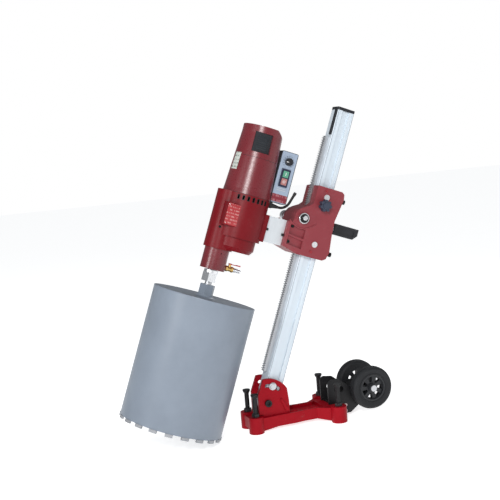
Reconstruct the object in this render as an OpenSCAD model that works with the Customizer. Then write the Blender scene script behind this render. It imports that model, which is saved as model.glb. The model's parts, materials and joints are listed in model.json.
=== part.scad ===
// Core drill rig: a tilting column stand with a rack-fed carriage, a geared
// electric drill motor, a large core bit and a wheeled, levelling base.
// Frame: +Z up, +X from the bit towards the wheels, +Y to the crank side.
// Parts on the column are drawn in the column's own frame: x across it,
// z up along it, with the tilt pivot at its origin.

/* [Stand] */
// Lean of the column from upright, towards the wheels
column_lean = 20.5; // [5:0.5:40]
// Length of the column, from the pivot to the top of its cap
column_len = 1040; // [860:1:1300]
// Depth of the column, front to back
column_depth = 62; // [54:1:76]
// Width of the column, side to side
column_width = 54; // [48:1:78]
// Wall of the column extrusion
column_wall = 4; // [3:0.5:6]
// Height of the tilt pivot above the floor
pivot_height = 95; // [88:1:130]
// Distance of the column's middle behind the tilt pivot
column_back = 10; // [4:1:14]
// Radius of the arc slot that the lock bolt runs in
slot_arc_r = 60; // [52:1:74]
// Radius of the tilt pivot bolt
pivot_r = 8; // [6:0.5:9]

/* [Base] */
// Distance of the front levelling screws ahead of the pivot
front_boss_x = 48; // [40:1:64]
// Distance of the rear levelling screws behind the pivot
rear_boss_x = 242; // [200:1:300]
// Half of the spacing across the front levelling screws
front_boss_y = 40; // [38:1:64]
// Half of the spacing across the rear levelling screws
rear_boss_y = 82; // [70:1:104]
// Height of the screw bosses
boss_h = 56; // [48:1:66]
// Radius of the levelling screws
level_r = 8; // [6:0.5:9]
// Length of a levelling screw under its head
level_len = 128; // [110:1:150]
// Radius of the wheels
wheel_r = 75; // [62:1:90]
// Width of the wheels
wheel_w = 38; // [28:1:46]
// Distance of the wheel axle behind the pivot
axle_x = 380; // [366:1:440]
// Height of the wheel axle above the floor
axle_z = 94; // [92:1:110]

/* [Feed] */
// Module of the rack and its pinion
rack_module = 2.5; // [2:0.25:3]
// Teeth on the feed pinion
pinion_teeth = 16; // [13:1:20]
// Thickness of the rack from the column to the tooth tips
rack_t = 17; // [14:1:20]
// Width of the rack across the column
rack_w = 20; // [16:1:24]
// Length of the crank lever, from the shaft to the end of its grip
lever_len = 284; // [240:1:330]
// Height of the carriage
carriage_h = 244; // [236:1:280]

/* [Drill motor] */
// Distance from the tilt pivot to the spindle's axis
spindle_reach = 305; // [300:1:370]
// Distance from the spindle's axis to the armature's axis
axis_step = 51; // [50:0.5:54]
// Radius of the motor case at its lower end
motor_r = 81; // [80:1:92]
// Length of the motor case above the gear case
motor_len = 232; // [220:1:280]
// Radius of the water collar
collar_r = 42; // [38:1:46]
// Radius of the spindle
spindle_r = 17; // [14:0.5:18]

/* [Core bit] */
// Diameter over the diamond segments
bit_d = 350; // [260:1:352]
// Length of the bit, with its segments
bit_len = 450; // [370:1:560]
// Wall of the bit's tube
bit_wall = 4; // [3:0.5:6]
// Number of diamond segments
segment_count = 20; // [16:4:24]
// Height of a diamond segment below the tube
segment_h = 10; // [8:1:14]

/* [Control box] */
// Width of the control box
box_w = 60; // [52:1:72]
// Height of the control box
box_h = 178; // [160:1:214]
// Depth of the control box
box_d = 34; // [32:1:48]
// Diameter of the mains lead
lead_d = 9; // [8:0.5:10]

/* [Hidden] */
$fn = 64;
gap = 0.3;               // between pieces that slide past each other
fit = 0.05;              // radial clearance of a running fit
column_front = column_back - column_depth / 2;
column_rear = column_back + column_depth / 2;
half_w = column_width / 2;
cheek_gap = 2;           // column foot to each cheek
cheek_in = half_w + cheek_gap;
cheek_t = 10;
cheek_out = cheek_in + cheek_t;
lock_r = 6;
bit_r = bit_d / 2;
floor_gap = 0.2;         // under the lowest diamond segment
// Height along the column of the segments' lower faces
segment_c = (floor_gap - pivot_height - (spindle_reach - bit_r) * sin(column_lean))
    / cos(column_lean);
collar_low = -243;       // lower end of the water collar, from the pinion's axis
bit_top = collar_low - 95;
// Height of the pinion's axis along the column
pinion_c = segment_c + bit_len - bit_top;
rack_pitch = PI * rack_module;
pinion_r = rack_module * pinion_teeth / 2;
rack_line = column_front - rack_t + rack_module * 0.85;
pinion_a = rack_line - pinion_r;
rack_low = 98;
rack_high = column_len - 100;
rack_start = pinion_c - floor((pinion_c - rack_low) / rack_pitch) * rack_pitch;
rack_count = floor((rack_high - rack_start) / rack_pitch);
// The frame's origin is on the floor, midway between the bit and the wheels
low_x = segment_c * sin(column_lean) - (spindle_reach + bit_r) * cos(column_lean);
high_x = axle_x + wheel_r;
origin_x = (low_x + high_x) / 2;

side_t = 21;             // thickness of a carriage side
tunnel_w = half_w + 3;   // half width of the column's tunnel
carriage_w = tunnel_w + side_t;
carriage_top = carriage_h / 2;
carriage_back = column_rear + 34;
arm_front = pinion_a - 47;
arm_low = -109;
arm_high = -21;
pinion_face = 14;        // half width of the pinion's teeth
shaft_r = 10;
hub_y = 92;              // where the crank lever's hub starts
roller_r = 12.7;
roller_slack = 0.3;
channel_d = 7;           // depth of the column's side channels
roller_zs = [-76, 89];

spindle_a = -spindle_reach;
motor_a = spindle_a + axis_step;
case_top = 24;
case_low = -172;
case_r = motor_r + 1;
case_wall = 6;
case_bottom = -122;       // floor of the gear case, over the grease bulge
bulge_low = -168;
snout_r = collar_r + 7;
flange_a = motor_a + case_r + 1;
deck_low = -16;
pit_low = -100;
lay_module = 1.5;
lay_small = 11;
lay_big = 40;
out_module = 2;
out_small = 14;
out_big = 2 * axis_step / out_module - out_small;
lay_reach = lay_module * (lay_small + lay_big) / 2;
out_reach = out_module * (out_small + out_big) / 2;
lay_dx = (lay_reach * lay_reach - out_reach * out_reach + axis_step * axis_step)
    / (2 * axis_step);
lay_y = sqrt(lay_reach * lay_reach - lay_dx * lay_dx);
lay_a = motor_a - lay_dx;
lay_turn = atan2(lay_y, -lay_dx);       // from the armature to the layshaft
out_turn = atan2(-lay_y, spindle_a - lay_a); // from the layshaft to the spindle
stator_r = motor_r - 15;
cover_z = 150;
motor_top = case_top + motor_len;
cover_bore = 58;
cone_drop = 12;          // the motor case narrows by this much on its radius
box_a = motor_a + motor_r + 0.5;
box_y = 22;
box_z = 27;
panel_t = 2;
panel_y = box_y - box_d;
plate_h = 12;            // thickness of the bit's top plate

// Centre line of the mains lead, in the carriage's frame: x and z
lead_line = [[-150, 15], [-140, 15], [-129, 15], [-119.7, 16.2], [-111, 19.8],
    [-103.5, 25.5], [-97.8, 33], [-94.7, 40], [-91.6, 49.5], [-88.5, 59],
    [-85.4, 68.5]];
lead_y = 5;

// ---- placing ----
module stand() translate([-origin_x, 0, 0]) children();
module on_column() stand() translate([0, 0, pivot_height])
    rotate([0, column_lean, 0]) children();
module on_carriage() on_column() translate([0, 0, pinion_c]) children();
module both_sides() {
    children();
    mirror([0, 1, 0]) children();
}

// ---- shapes ----
// A round bar along y from y0 to y1
module ybar(x, z, r, y0, y1) translate([x, y0, z]) rotate([-90, 0, 0])
    cylinder(r = r, h = y1 - y0);
// A round bar along x from x0 to x1
module xbar(x0, x1, y, z, r) translate([x0, y, z]) rotate([0, 90, 0])
    cylinder(r = r, h = x1 - x0);
// A round bar along z from z0 to z1
module zbar(x, y, r, z0, z1) translate([x, y, z0]) cylinder(r = r, h = z1 - z0);
// A box from its lowest to its highest corner
module block(low, high) translate(low) cube(high - low);
// A plate with its outline in x and z, from y0 to y1
module yplate(y0, y1) translate([0, y1, 0]) rotate([90, 0, 0])
    linear_extrude(y1 - y0) children();
// A washer or bearing ring
module ring(r_out, r_in, h) difference() {
    cylinder(r = r_out, h = h);
    translate([0, 0, -1]) cylinder(r = r_in, h = h + 2);
}
// A rectangle with round corners
module round_rect(w, h, r) {
    square([w - 2 * r, h], center = true);
    square([w, h - 2 * r], center = true);
    for (i = [-1, 1], j = [-1, 1]) translate([i * (w / 2 - r), j * (h / 2 - r)])
        circle(r = r, $fn = 32);
}
// A hexagon bar of a width across flats
module hexbar(flats, h) cylinder(r = flats / sqrt(3), h = h, $fn = 6);
// A slot outline along x
module slot2d(len, r) {
    square([len - 2 * r, 2 * r], center = true);
    for (i = [-1, 1]) translate([i * (len / 2 - r), 0]) circle(r = r);
}
// Socket head screw along +z from its head's seat, shank below
module socket_screw(r, len, head_r, head_h) {
    translate([0, 0, -len]) cylinder(r = r, h = len);
    difference() {
        cylinder(r = head_r, h = head_h);
        translate([0, 0, head_h * 0.4]) hexbar(head_r, head_h);
    }
}
// Screw along -y: its head outside the near side at y, at x and z
module near_screw(x, y, z, r, len, head_r, head_h) translate([x, y, z])
    rotate([90, 0, 0]) socket_screw(r, len, head_r, head_h);
module far_screw(x, y, z, r, len, head_r, head_h) translate([x, y, z])
    rotate([-90, 0, 0]) socket_screw(r, len, head_r, head_h);

// Tooth corner shares of the pitch at the root, the pitch line and the tip
tooth_root = 0.31;
tooth_line = 0.22;
tooth_tip = 0.12;
addendum = 0.85;
dedendum = 1.15;
function polar(r, a) = [r * cos(a), r * sin(a)];
function gear_outline(m, z, turn) = let (r = m * z / 2, p = 360 / z) [
    for (i = [0 : z - 1]) let (a = turn + i * p) each [
        polar(r - dedendum * m, a - tooth_root * p),
        polar(r, a - tooth_line * p),
        polar(r + addendum * m, a - tooth_tip * p),
        polar(r + addendum * m, a + tooth_tip * p),
        polar(r, a + tooth_line * p),
        polar(r - dedendum * m, a + tooth_root * p)]];
module gear(m, z, turn, h) linear_extrude(h) polygon(gear_outline(m, z, turn));

// ---- base ----
rail_low = 12;
rail_top = 50;
deck_z = 28;
deck_t = 12;
rail_w = 9;
waist_y = cheek_out + rail_w + 1;
tail_x = 300;
tail_w = 30;
anchor_x = 130;
anchor_step = 76;
anchor_len = 60;
anchor_r = 9;
boss_r = 26;
rear_boss_r = 27;
// One half of the base's outline, drawn in from its edge by m
function base_half(m) = [
    [-front_boss_x - 20 + m, 0], [-front_boss_x - 20 + m, front_boss_y - m],
    [-front_boss_x + 24, front_boss_y + 14 - m], [40, waist_y - m],
    [92, waist_y - m], [130, waist_y - 5 - m], [rear_boss_x - 52, front_boss_y + 4 - m],
    [rear_boss_x - 27 + m, rear_boss_y - 8 - m],
    [rear_boss_x + 16 - m, rear_boss_y - m],
    [rear_boss_x + 22 - m, tail_w + 8], [rear_boss_x + 22 - m, 0]];
module base_outline(m) both_sides_2d() polygon(base_half(m));
module both_sides_2d() {
    children();
    mirror([0, 1]) children();
}
module each_boss() {
    for (s = [-1, 1]) {
        translate([-front_boss_x, s * front_boss_y, 0]) children();
        translate([rear_boss_x, s * rear_boss_y, 0]) children();
    }
}
// A web from the foot of a boss to a point on the rail's lower edge
module base_web(x0, y0, x1, y1) hull() {
    zbar(x0, y0, rail_w, 1, rail_top);
    zbar(x1, y1, rail_w / 2, rail_low, rail_top);
}
module base_casting() color([0.72, 0.05, 0.09]) stand() difference() {
    union() {
        translate([0, 0, rail_low]) linear_extrude(rail_top - rail_low)
            base_outline(0);
        for (s = [-1, 1]) {
            zbar(-front_boss_x, s * front_boss_y, boss_r, 0, boss_h);
            zbar(rear_boss_x, s * rear_boss_y, rear_boss_r, 0, boss_h);
        }
        block([rear_boss_x, -tail_w, rail_low], [tail_x, tail_w, rail_top]);
        // webs that run down from the rails to the feet
        for (s = [-1, 1]) {
            base_web(-front_boss_x, s * front_boss_y, 30, s * (waist_y - rail_w / 2));
            base_web(rear_boss_x, s * rear_boss_y, rear_boss_x - 62,
                s * (front_boss_y + 2));
        }
    }
    // pocket above the deck, left closed under the wheel bracket's feet
    difference() {
        translate([0, 0, deck_z + deck_t]) linear_extrude(rail_top)
            base_outline(rail_w);
        block([rear_boss_x - 40, -120, 0], [tail_x, 120, rail_top]);
        each_boss() cylinder(r = rear_boss_r, h = 100);
    }
    // hollow under the deck
    difference() {
        translate([0, 0, rail_low - 1]) linear_extrude(deck_z - rail_low + 1)
            base_outline(rail_w);
        each_boss() cylinder(r = rear_boss_r, h = 100);
    }
    each_boss() translate([0, 0, -1]) cylinder(r = level_r + fit, h = 100);
    for (i = [-1, 1]) translate([anchor_x + i * anchor_step / 2, 0, 0])
        linear_extrude(80) slot2d(anchor_len, anchor_r);
    for (z = tail_bolt_zs) ybar(tail_bolt_x, z, tail_bolt_r + 0.2, -60, 60);
    for (p = cheek_bolts, s = [-1, 1])
        zbar(p, s * cheek_bolt_y, 4.2, deck_z + 2, 80);
}
tail_bolt_x = 288;
tail_bolt_zs = [20, 40];
tail_bolt_r = 4;
cheek_bolts = [-7, 64];
cheek_bolt_y = cheek_in - 12;
flange_in = max(cheek_in - 24, 9.5);   // keeps the anchor slot clear
foot_t = 8;
cheek_low = deck_z + deck_t;

// A cheek stands on the deck; its arc slot lets the lock bolt swing
cheek_left = -front_boss_x + 15;
cheek_r = slot_arc_r + 24;
function swing(r, lean) = [r * sin(lean), pivot_height + r * cos(lean)];
function cheek_edge() = concat([[-20, cheek_low], [-20, boss_h + 2],
    [cheek_left, boss_h + 2], [cheek_left, pivot_height + 30]],
    [for (lean = [-8 : 4 : 60]) swing(cheek_r, lean)],
    [[77, pivot_height], [78, cheek_low]]);
// A slot along an arc about the pivot, from lean low to lean high
function arc_slot(r, half, low, high) = concat(
    [for (k = [0 : 3 : high - low]) swing(r + half, low + k)],
    [for (k = [15 : 15 : 165]) swing(r, high) + half * [sin(high + k), cos(high + k)]],
    [for (k = [0 : 3 : high - low]) swing(r - half, high - k)],
    [for (k = [195 : 15 : 345]) swing(r, low) + half * [sin(low + k), cos(low + k)]]);
module cheek_outline() difference() {
    polygon(cheek_edge());
    translate([0, pivot_height]) circle(r = pivot_r + 0.02);
    polygon(arc_slot(slot_arc_r, lock_r + 0.5, 0, 45));
}
module tilt_cheeks() color([0.78, 0.06, 0.10]) stand() both_sides() difference() {
    union() {
        yplate(cheek_in, cheek_out) cheek_outline();
        // inner foot flanges that the cheek is bolted down by
        block([-20, flange_in, cheek_low], [6, cheek_in, cheek_low + foot_t]);
        block([50, flange_in, cheek_low], [78, cheek_in, cheek_low + foot_t]);
        // slanting gusset
        yplate(cheek_out, cheek_out + 5) polygon([[44, pivot_height + 8],
            [50, pivot_height + 8], [76, rail_top + 8], [62, rail_top + 8]]);
    }
    for (p = cheek_bolts) zbar(p, cheek_bolt_y, 4.2, 0, 80);
}
module pivot_bolt() color([0.1, 0.1, 0.11]) stand() {
    near_screw(0, -cheek_out, pivot_height, pivot_r, 2 * cheek_out + 9, 12, 8);
    translate([0, cheek_out, pivot_height]) rotate([-90, 0, 0]) difference() {
        hexbar(24, 9);
        translate([0, 0, -1]) cylinder(r = pivot_r, h = 12);
    }
}
// A plate screw of the base, standing on its head's seat
module hex_screw(r, len, flats, head_h) {
    translate([0, 0, -len]) cylinder(r = r, h = len);
    hexbar(flats, head_h);
}
module base_fasteners() color([0.62, 0.63, 0.65]) stand() {
    for (z = tail_bolt_zs) both_sides() translate([tail_bolt_x, bracket_out, z])
        rotate([-90, 0, 0]) hex_screw(tail_bolt_r, 20, 10, 5);
    for (p = cheek_bolts) both_sides()
        translate([p, cheek_bolt_y, cheek_low + foot_t]) hex_screw(4, 16, 11, 5);
    each_boss() translate([0, 0, boss_h]) difference() {
        hexbar(24, 11);
        translate([0, 0, -1]) cylinder(r = level_r + fit, h = 13);
    }
}
level_low = 1;
module levelling_screw(x, y) color([0.09, 0.09, 0.1]) stand()
    translate([x, y, level_low]) {
        cylinder(r = level_r, h = level_len);
        translate([0, 0, level_len - 9]) cylinder(r1 = level_r, r2 = 13, h = 9);
        translate([0, 0, level_len]) cylinder(r = 13, h = 5);
    }
module levelling_screw_front_near() levelling_screw(-front_boss_x, -front_boss_y);
module levelling_screw_front_far() levelling_screw(-front_boss_x, front_boss_y);
module levelling_screw_rear_near() levelling_screw(rear_boss_x, -rear_boss_y);
module levelling_screw_rear_far() levelling_screw(rear_boss_x, rear_boss_y);

// ---- wheels ----
bracket_t = 6;
bracket_out = tail_w + bracket_t;
axle_r = 7;
wheel_gap = 4;
wheel_in = bracket_out + wheel_gap;
wheel_out = wheel_in + wheel_w;
rim_r = wheel_r - 29;
module bracket_outline() difference() {
    union() {
        polygon([[272, 10], [308, 10], [336, 30], [axle_x + 6, axle_z - 15],
            [axle_x + 2, axle_z + 16], [axle_x - 30, axle_z + 14],
            [axle_x - 66, axle_z + 6], [272, 132], [240, 136], [226, 124],
            [226, rail_top], [272, rail_top]]);
        translate([axle_x, axle_z]) circle(r = 16);
        translate([242, 120]) circle(r = 16);
    }
    translate([axle_x, axle_z]) circle(r = axle_r);
    translate([268, 98]) slot2d(36, 11);
}
module wheel_bracket() color([0.08, 0.08, 0.09]) stand() difference() {
    union() {
        both_sides() yplate(tail_w, bracket_out) bracket_outline();
        block([322, -tail_w, axle_z - 26], [328, tail_w, axle_z + 2]);
        block([232, -tail_w, rail_top], [262, tail_w, rail_top + 6]);
        both_sides() translate([axle_x, bracket_out, axle_z])
            rotate([-90, 0, 0]) ring(12, axle_r, wheel_gap - 1);
    }
    for (z = tail_bolt_zs)
        ybar(tail_bolt_x, z, tail_bolt_r + 0.2, -60, 60);
}
module wheel_axle() color([0.7, 0.7, 0.72]) stand() {
    ybar(axle_x, axle_z, axle_r, -wheel_out - 2, wheel_out + 2);
    both_sides() ybar(axle_x, axle_z, 11, wheel_out + 2, wheel_out + 6);
}
module tyre() translate([axle_x, 0, axle_z]) rotate([-90, 0, 0]) rotate_extrude()
    difference() {
        polygon([[rim_r, wheel_in + 3], [wheel_r - 8, wheel_in],
            [wheel_r - 2, wheel_in + 5], [wheel_r, wheel_in + 12],
            [wheel_r, wheel_out - 12], [wheel_r - 2, wheel_out - 5],
            [wheel_r - 8, wheel_out], [rim_r, wheel_out - 3]]);
        for (i = [-1, 1]) translate([wheel_r, (wheel_in + wheel_out) / 2 + i * 6])
            square([5, 2.5], center = true);
    }
module rim() difference() {
    union() {
        ybar(axle_x, axle_z, rim_r, wheel_in + 3, wheel_out - 3);
        ybar(axle_x, axle_z, 14, wheel_in, wheel_out);
    }
    for (s = [wheel_in - 1, wheel_out - 10]) translate([axle_x, s, axle_z])
        rotate([-90, 0, 0]) ring(rim_r - 5, 16, 11);
    ybar(axle_x, axle_z, axle_r + fit, 0, 100);
    for (k = [0 : 6]) translate([axle_x, 0, axle_z]) rotate([0, k * 360 / 7, 0])
        yplate(0, 100) polygon([[20, -5], [rim_r - 8, -11], [rim_r - 8, 8],
            [20, 3]]);
}
module near_tyre() color([0.07, 0.07, 0.07]) stand() mirror([0, 1, 0]) tyre();
module far_tyre() color([0.07, 0.07, 0.07]) stand() tyre();
module near_rim() color([0.12, 0.12, 0.13]) stand() mirror([0, 1, 0]) rim();
module far_rim() color([0.12, 0.12, 0.13]) stand() rim();

// ---- column ----
column_low = 34;
cap_t = 10;
channel_half = roller_r + roller_slack;
module column_section() difference() {
    translate([column_back, 0]) round_rect(column_depth, column_width, 3);
    // side channels for the guide rollers
    for (s = [-1, 1]) translate([column_back, s * half_w])
        square([2 * channel_half, 2 * channel_d], center = true);
    // hollow middle
    translate([column_back, 0])
        square([hollow_d, hollow_w], center = true);
    // decorative and weight-saving grooves
    for (s = [-1, 1], x = [column_front + 7, column_rear - 7])
        translate([x, s * half_w]) square([2, 2], center = true);
    for (y = [-18, 18]) translate([column_rear, y]) square([4, 6], center = true);
}
hollow_d = column_depth - 2 * column_wall - 4;
hollow_w = column_width - 2 * channel_d - 2 * column_wall;
module column() color([0.82, 0.84, 0.86]) on_column() difference() {
    translate([0, 0, column_low])
        linear_extrude(column_len - cap_t - column_low) column_section();
    ybar(0, slot_arc_r, lock_r + fit, -60, 60);
}
module column_cap() color([0.05, 0.05, 0.06]) on_column() {
    translate([column_back, 0, column_len - cap_t]) linear_extrude(cap_t)
        round_rect(column_depth + 2, column_width + 2, 5);
    translate([column_back, 0, column_len - cap_t - 20]) linear_extrude(20)
        square([hollow_d - 0.4, hollow_w - 0.4], center = true);
}
function rack_outline() = concat(
    [[column_front, rack_start - rack_pitch / 2 + rack_count * rack_pitch],
    [column_front, rack_start - rack_pitch / 2]],
    [for (i = [0 : rack_count - 1]) let (z = rack_start + i * rack_pitch) each [
        [rack_line - addendum * rack_module, z - (0.5 - tooth_tip) * rack_pitch],
        [rack_line, z - (0.5 - tooth_line) * rack_pitch],
        [rack_line + dedendum * rack_module, z - (0.5 - tooth_root) * rack_pitch],
        [rack_line + dedendum * rack_module, z + (0.5 - tooth_root) * rack_pitch],
        [rack_line, z + (0.5 - tooth_line) * rack_pitch],
        [rack_line - addendum * rack_module, z + (0.5 - tooth_tip) * rack_pitch]]]);
module rack() color([0.75, 0.76, 0.78]) on_column()
    yplate(-rack_w / 2, rack_w / 2) polygon(rack_outline());
module column_foot() color([0.55, 0.56, 0.58]) on_column() difference() {
    union() {
        ybar(0, 0, 28, -half_w, half_w);
        block([column_front, -half_w, 0], [column_rear, half_w, column_low]);
        block([column_back - hollow_d / 2 + 0.2, -hollow_w / 2 + 0.2, column_low],
            [column_back + hollow_d / 2 - 0.2, hollow_w / 2 - 0.2, slot_arc_r + 30]);
    }
    ybar(0, 0, pivot_r + fit, -60, 60);
    ybar(0, slot_arc_r, lock_r + fit, -60, 60);
}
module column_fasteners() color([0.72, 0.73, 0.75]) on_column() {
    // lock bolt through both arc slots, with washers and nut
    ybar(0, slot_arc_r, lock_r, -cheek_out - 3, cheek_out + 11);
    translate([0, -cheek_out - gap, slot_arc_r]) rotate([90, 0, 0]) {
        cylinder(r = 13, h = 2.5);
        translate([0, 0, 2.5]) hexbar(19, 7);
    }
    translate([0, cheek_out + gap, slot_arc_r]) rotate([-90, 0, 0]) {
        cylinder(r = 13, h = 2.5);
        translate([0, 0, 2.5]) hexbar(19, 9);
    }
}

// ---- carriage ----
knob_a = column_back - 6;
knob_z = 60;
rack_slot = rack_w / 2 + 3;
pinion_room = pinion_r + rack_module + 2;
pinion_wall = pinion_room + 3;
side_tilt_z = 20;
function carriage_outline() = [
    [column_front - 9, carriage_top - 3], [column_front - 6, carriage_top],
    [carriage_back - 13, carriage_top], [carriage_back - 3, carriage_top - 7],
    [carriage_back, carriage_top - 24], [carriage_back - 13, side_tilt_z],
    [carriage_back - 11, -24], [carriage_back - 3, -carriage_top + 32],
    [carriage_back - 10, -carriage_top + 8], [carriage_back - 22, -carriage_top],
    [column_front - 24, -carriage_top], [arm_front, arm_low + 2],
    [arm_front, arm_high], [arm_front + 14, arm_high],
    [pinion_a - pinion_wall, -8], [pinion_a - pinion_wall, 12],
    [pinion_a - 20, 26],
    [pinion_a - 6, 36], [column_front - 20, 48], [column_front - 9, 60]];
module carriage_casting() color([0.55, 0.07, 0.11]) on_carriage() difference() {
    yplate(-carriage_w, carriage_w) polygon(carriage_outline());
    // tunnel for the column and slot for its rack
    block([column_front - 3, -tunnel_w, -200], [column_rear + 3, tunnel_w, 200]);
    block([column_front - rack_t - 3, -rack_slot, -200],
        [column_front, rack_slot, 200]);
    // room for the pinion and its shaft
    ybar(pinion_a, 0, pinion_room, -pinion_face - 2, pinion_face + 2);
    ybar(pinion_a, 0, feed_bearing_r, -carriage_w - 1, carriage_w + 1);
    // hollow arm and its open pockets on both sides
    block([arm_front + 12, -tunnel_w + 4, arm_low + 14],
        [pinion_a + 4, tunnel_w - 4, arm_high - 14]);
    both_sides() {
        yplate(carriage_w - 9, carriage_w + 1) pocket_outline(arm_low + 12, -68);
        yplate(carriage_w - 9, carriage_w + 1) pocket_outline(-62, arm_high - 8);
    }
    for (z = roller_zs) both_sides() {
        ybar(column_back, z, roller_r + 1.5, 0, tunnel_w + 3);
        ybar(column_back, z, axle_pin_r, 0, carriage_w + 1);
    }
    ybar(knob_a, knob_z, stud_r + fit, -carriage_w - 1, 0);
    ybar(knob_a, knob_z, pad_r + 0.5, -tunnel_w - 3, 0);
    for (z = small_screw_zs)
        both_sides() ybar(knob_a, z, 3, carriage_w - 10, carriage_w + 1);
    for (z = gib_zs) {
        xbar(0, carriage_back + 10, 0, z, 5);
        xbar(0, column_rear + 5, 0, z, 13);
        xbar(gib_seat(z), carriage_back + 20, 0, z, 11);
    }
    for (z = spacer_bolt_zs, s = [-1, 1])
        xbar(arm_front - 1, arm_front + 20, s * spacer_bolt_y, z, 4.2);
}
module pocket_outline(z0, z1) polygon([[arm_front + 12, z0], [pinion_a + 22, z0 - 6],
    [pinion_a + 22, z1 - 8], [arm_front + 12, z1]]);
feed_bearing_r = 16;
axle_pin_r = 5;
stud_r = 5;
pad_r = 6.5;
small_screw_zs = [-103, 110];
gib_zs = [-95, 93];
function gib_seat(z) = z > 0 ? carriage_back - 1 : carriage_back - 7;
spacer_bolt_zs = [arm_low + 23, arm_high - 23];
spacer_bolt_y = 18;
module roller_axles() color([0.8, 0.81, 0.83]) on_carriage()
    for (z = roller_zs) both_sides() {
        ybar(column_back, z, axle_pin_r, half_w - channel_d + 1, carriage_w);
        translate([column_back, carriage_w, z]) rotate([-90, 0, 0]) difference() {
            cylinder(r = 10, h = 4);
            translate([0, 0, 1.5]) hexbar(8, 4);
        }
    }
module carriage_fasteners() color([0.1, 0.1, 0.11]) on_carriage() {
    for (z = small_screw_zs) {
        near_screw(knob_a, -carriage_w, z, 3, 9, 5, 3);
        far_screw(knob_a, carriage_w, z, 3, 9, 5, 3);
    }
    for (x = [arm_front, flange_a], z = spacer_bolt_zs, s = [-1, 1])
        translate([x + 12, s * spacer_bolt_y, z]) rotate([0, 90, 0])
            hex_screw(4, 26, 12, 7);
}
module gib_adjusters() color([0.08, 0.08, 0.09]) on_carriage() for (z = gib_zs) {
    xbar(column_rear + 4, carriage_back + 26, 0, z, 4);
    xbar(carriage_back + 20, carriage_back + 27, 0, z, 8);
    translate([gib_seat(z), 0, z])
        rotate([0, 90, 0]) difference() {
            hexbar(14, 6);
            translate([0, 0, -1]) cylinder(r = 4, h = 8);
        }
    xbar(column_rear + gap, column_rear + 4, 0, z, 12);
}
spacer_len = arm_front - flange_a;
spacer_wall = 9;
module motor_spacer() color([0.8, 0.82, 0.84]) on_carriage() difference() {
    block([flange_a, -35, arm_low], [arm_front, 35, arm_high]);
    block([flange_a + 12, -35 + spacer_wall, arm_low + spacer_wall],
        [arm_front - 14, 35 - spacer_wall, arm_high - spacer_wall]);
    for (z = spacer_bolt_zs, s = [-1, 1]) {
        xbar(arm_front - 20, arm_front + 1, s * spacer_bolt_y, z, 4);
        xbar(flange_a - 1, flange_a + 20, s * spacer_bolt_y, z, 4);
    }
}
module roller_pair(z) both_sides() translate([column_back, 0, z]) rotate([-90, 0, 0])
    translate([0, 0, half_w - channel_d + 0.8])
        ring(roller_r, axle_pin_r + fit, channel_d + 4.5);
module guide_rollers_low() color([0.85, 0.85, 0.8]) on_carriage()
    roller_pair(roller_zs[0]);
module guide_rollers_top() color([0.85, 0.85, 0.8]) on_carriage()
    roller_pair(roller_zs[1]);
module clamp_knob() color([0.06, 0.06, 0.08]) on_carriage() {
    ybar(knob_a, knob_z, stud_r, -carriage_w - 18, -half_w + 1);
    ybar(knob_a, knob_z, pad_r, -half_w - 2, -half_w + channel_d - gap);
    ybar(knob_a, knob_z, 9, -carriage_w - 10, -carriage_w - 1);
    translate([knob_a, -carriage_w - 10, knob_z]) rotate([90, 0, 0])
        linear_extrude(20) {
            circle(r = 15);
            for (k = [0 : 6]) rotate([0, 0, k * 360 / 7]) translate([15, 0])
                circle(r = 6, $fn = 24);
        }
    ybar(knob_a, knob_z, 11, -carriage_w - 34, -carriage_w - 30);
}
module feed_shaft() color([0.74, 0.75, 0.77]) on_carriage() {
    ybar(pinion_a, 0, shaft_r, -carriage_w - 2, hub_y + 14);
    translate([pinion_a, pinion_face, 0]) rotate([90, 0, 0])
        gear(rack_module, pinion_teeth, 0, 2 * pinion_face);
    translate([pinion_a, -carriage_w - 2, 0]) rotate([90, 0, 0]) {
        ring(17, 11, 4);
        cylinder(r = 12, h = 1);
        hexbar(14, 12);
    }
}
module feed_lever() color([0.6, 0.61, 0.63]) on_carriage() difference() {
    union() {
        ybar(pinion_a, 0, 19, hub_y, hub_y + 22);
        block([pinion_a, hub_y + 4, -9], [pinion_a + lever_len - 60, hub_y + 16, 9]);
    }
    ybar(pinion_a, 0, shaft_r, hub_y - 1, hub_y + 14);
}
grip_len = 94;
module feed_grip() color([0.07, 0.07, 0.08]) on_carriage() difference() {
    yplate(hub_y - 2, hub_y + 22) polygon([
        [pinion_a + lever_len - grip_len, -20], [pinion_a + lever_len - 16, -20],
        [pinion_a + lever_len, -4], [pinion_a + lever_len, 20],
        [pinion_a + lever_len - grip_len, 20]]);
    block([0, hub_y + 4, -9], [pinion_a + lever_len - 60, hub_y + 16, 9]);
    yplate(hub_y - 3, hub_y) translate([pinion_a + lever_len - grip_len / 2, 0])
        round_rect(grip_len - 30, 22, 5);
}

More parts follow.
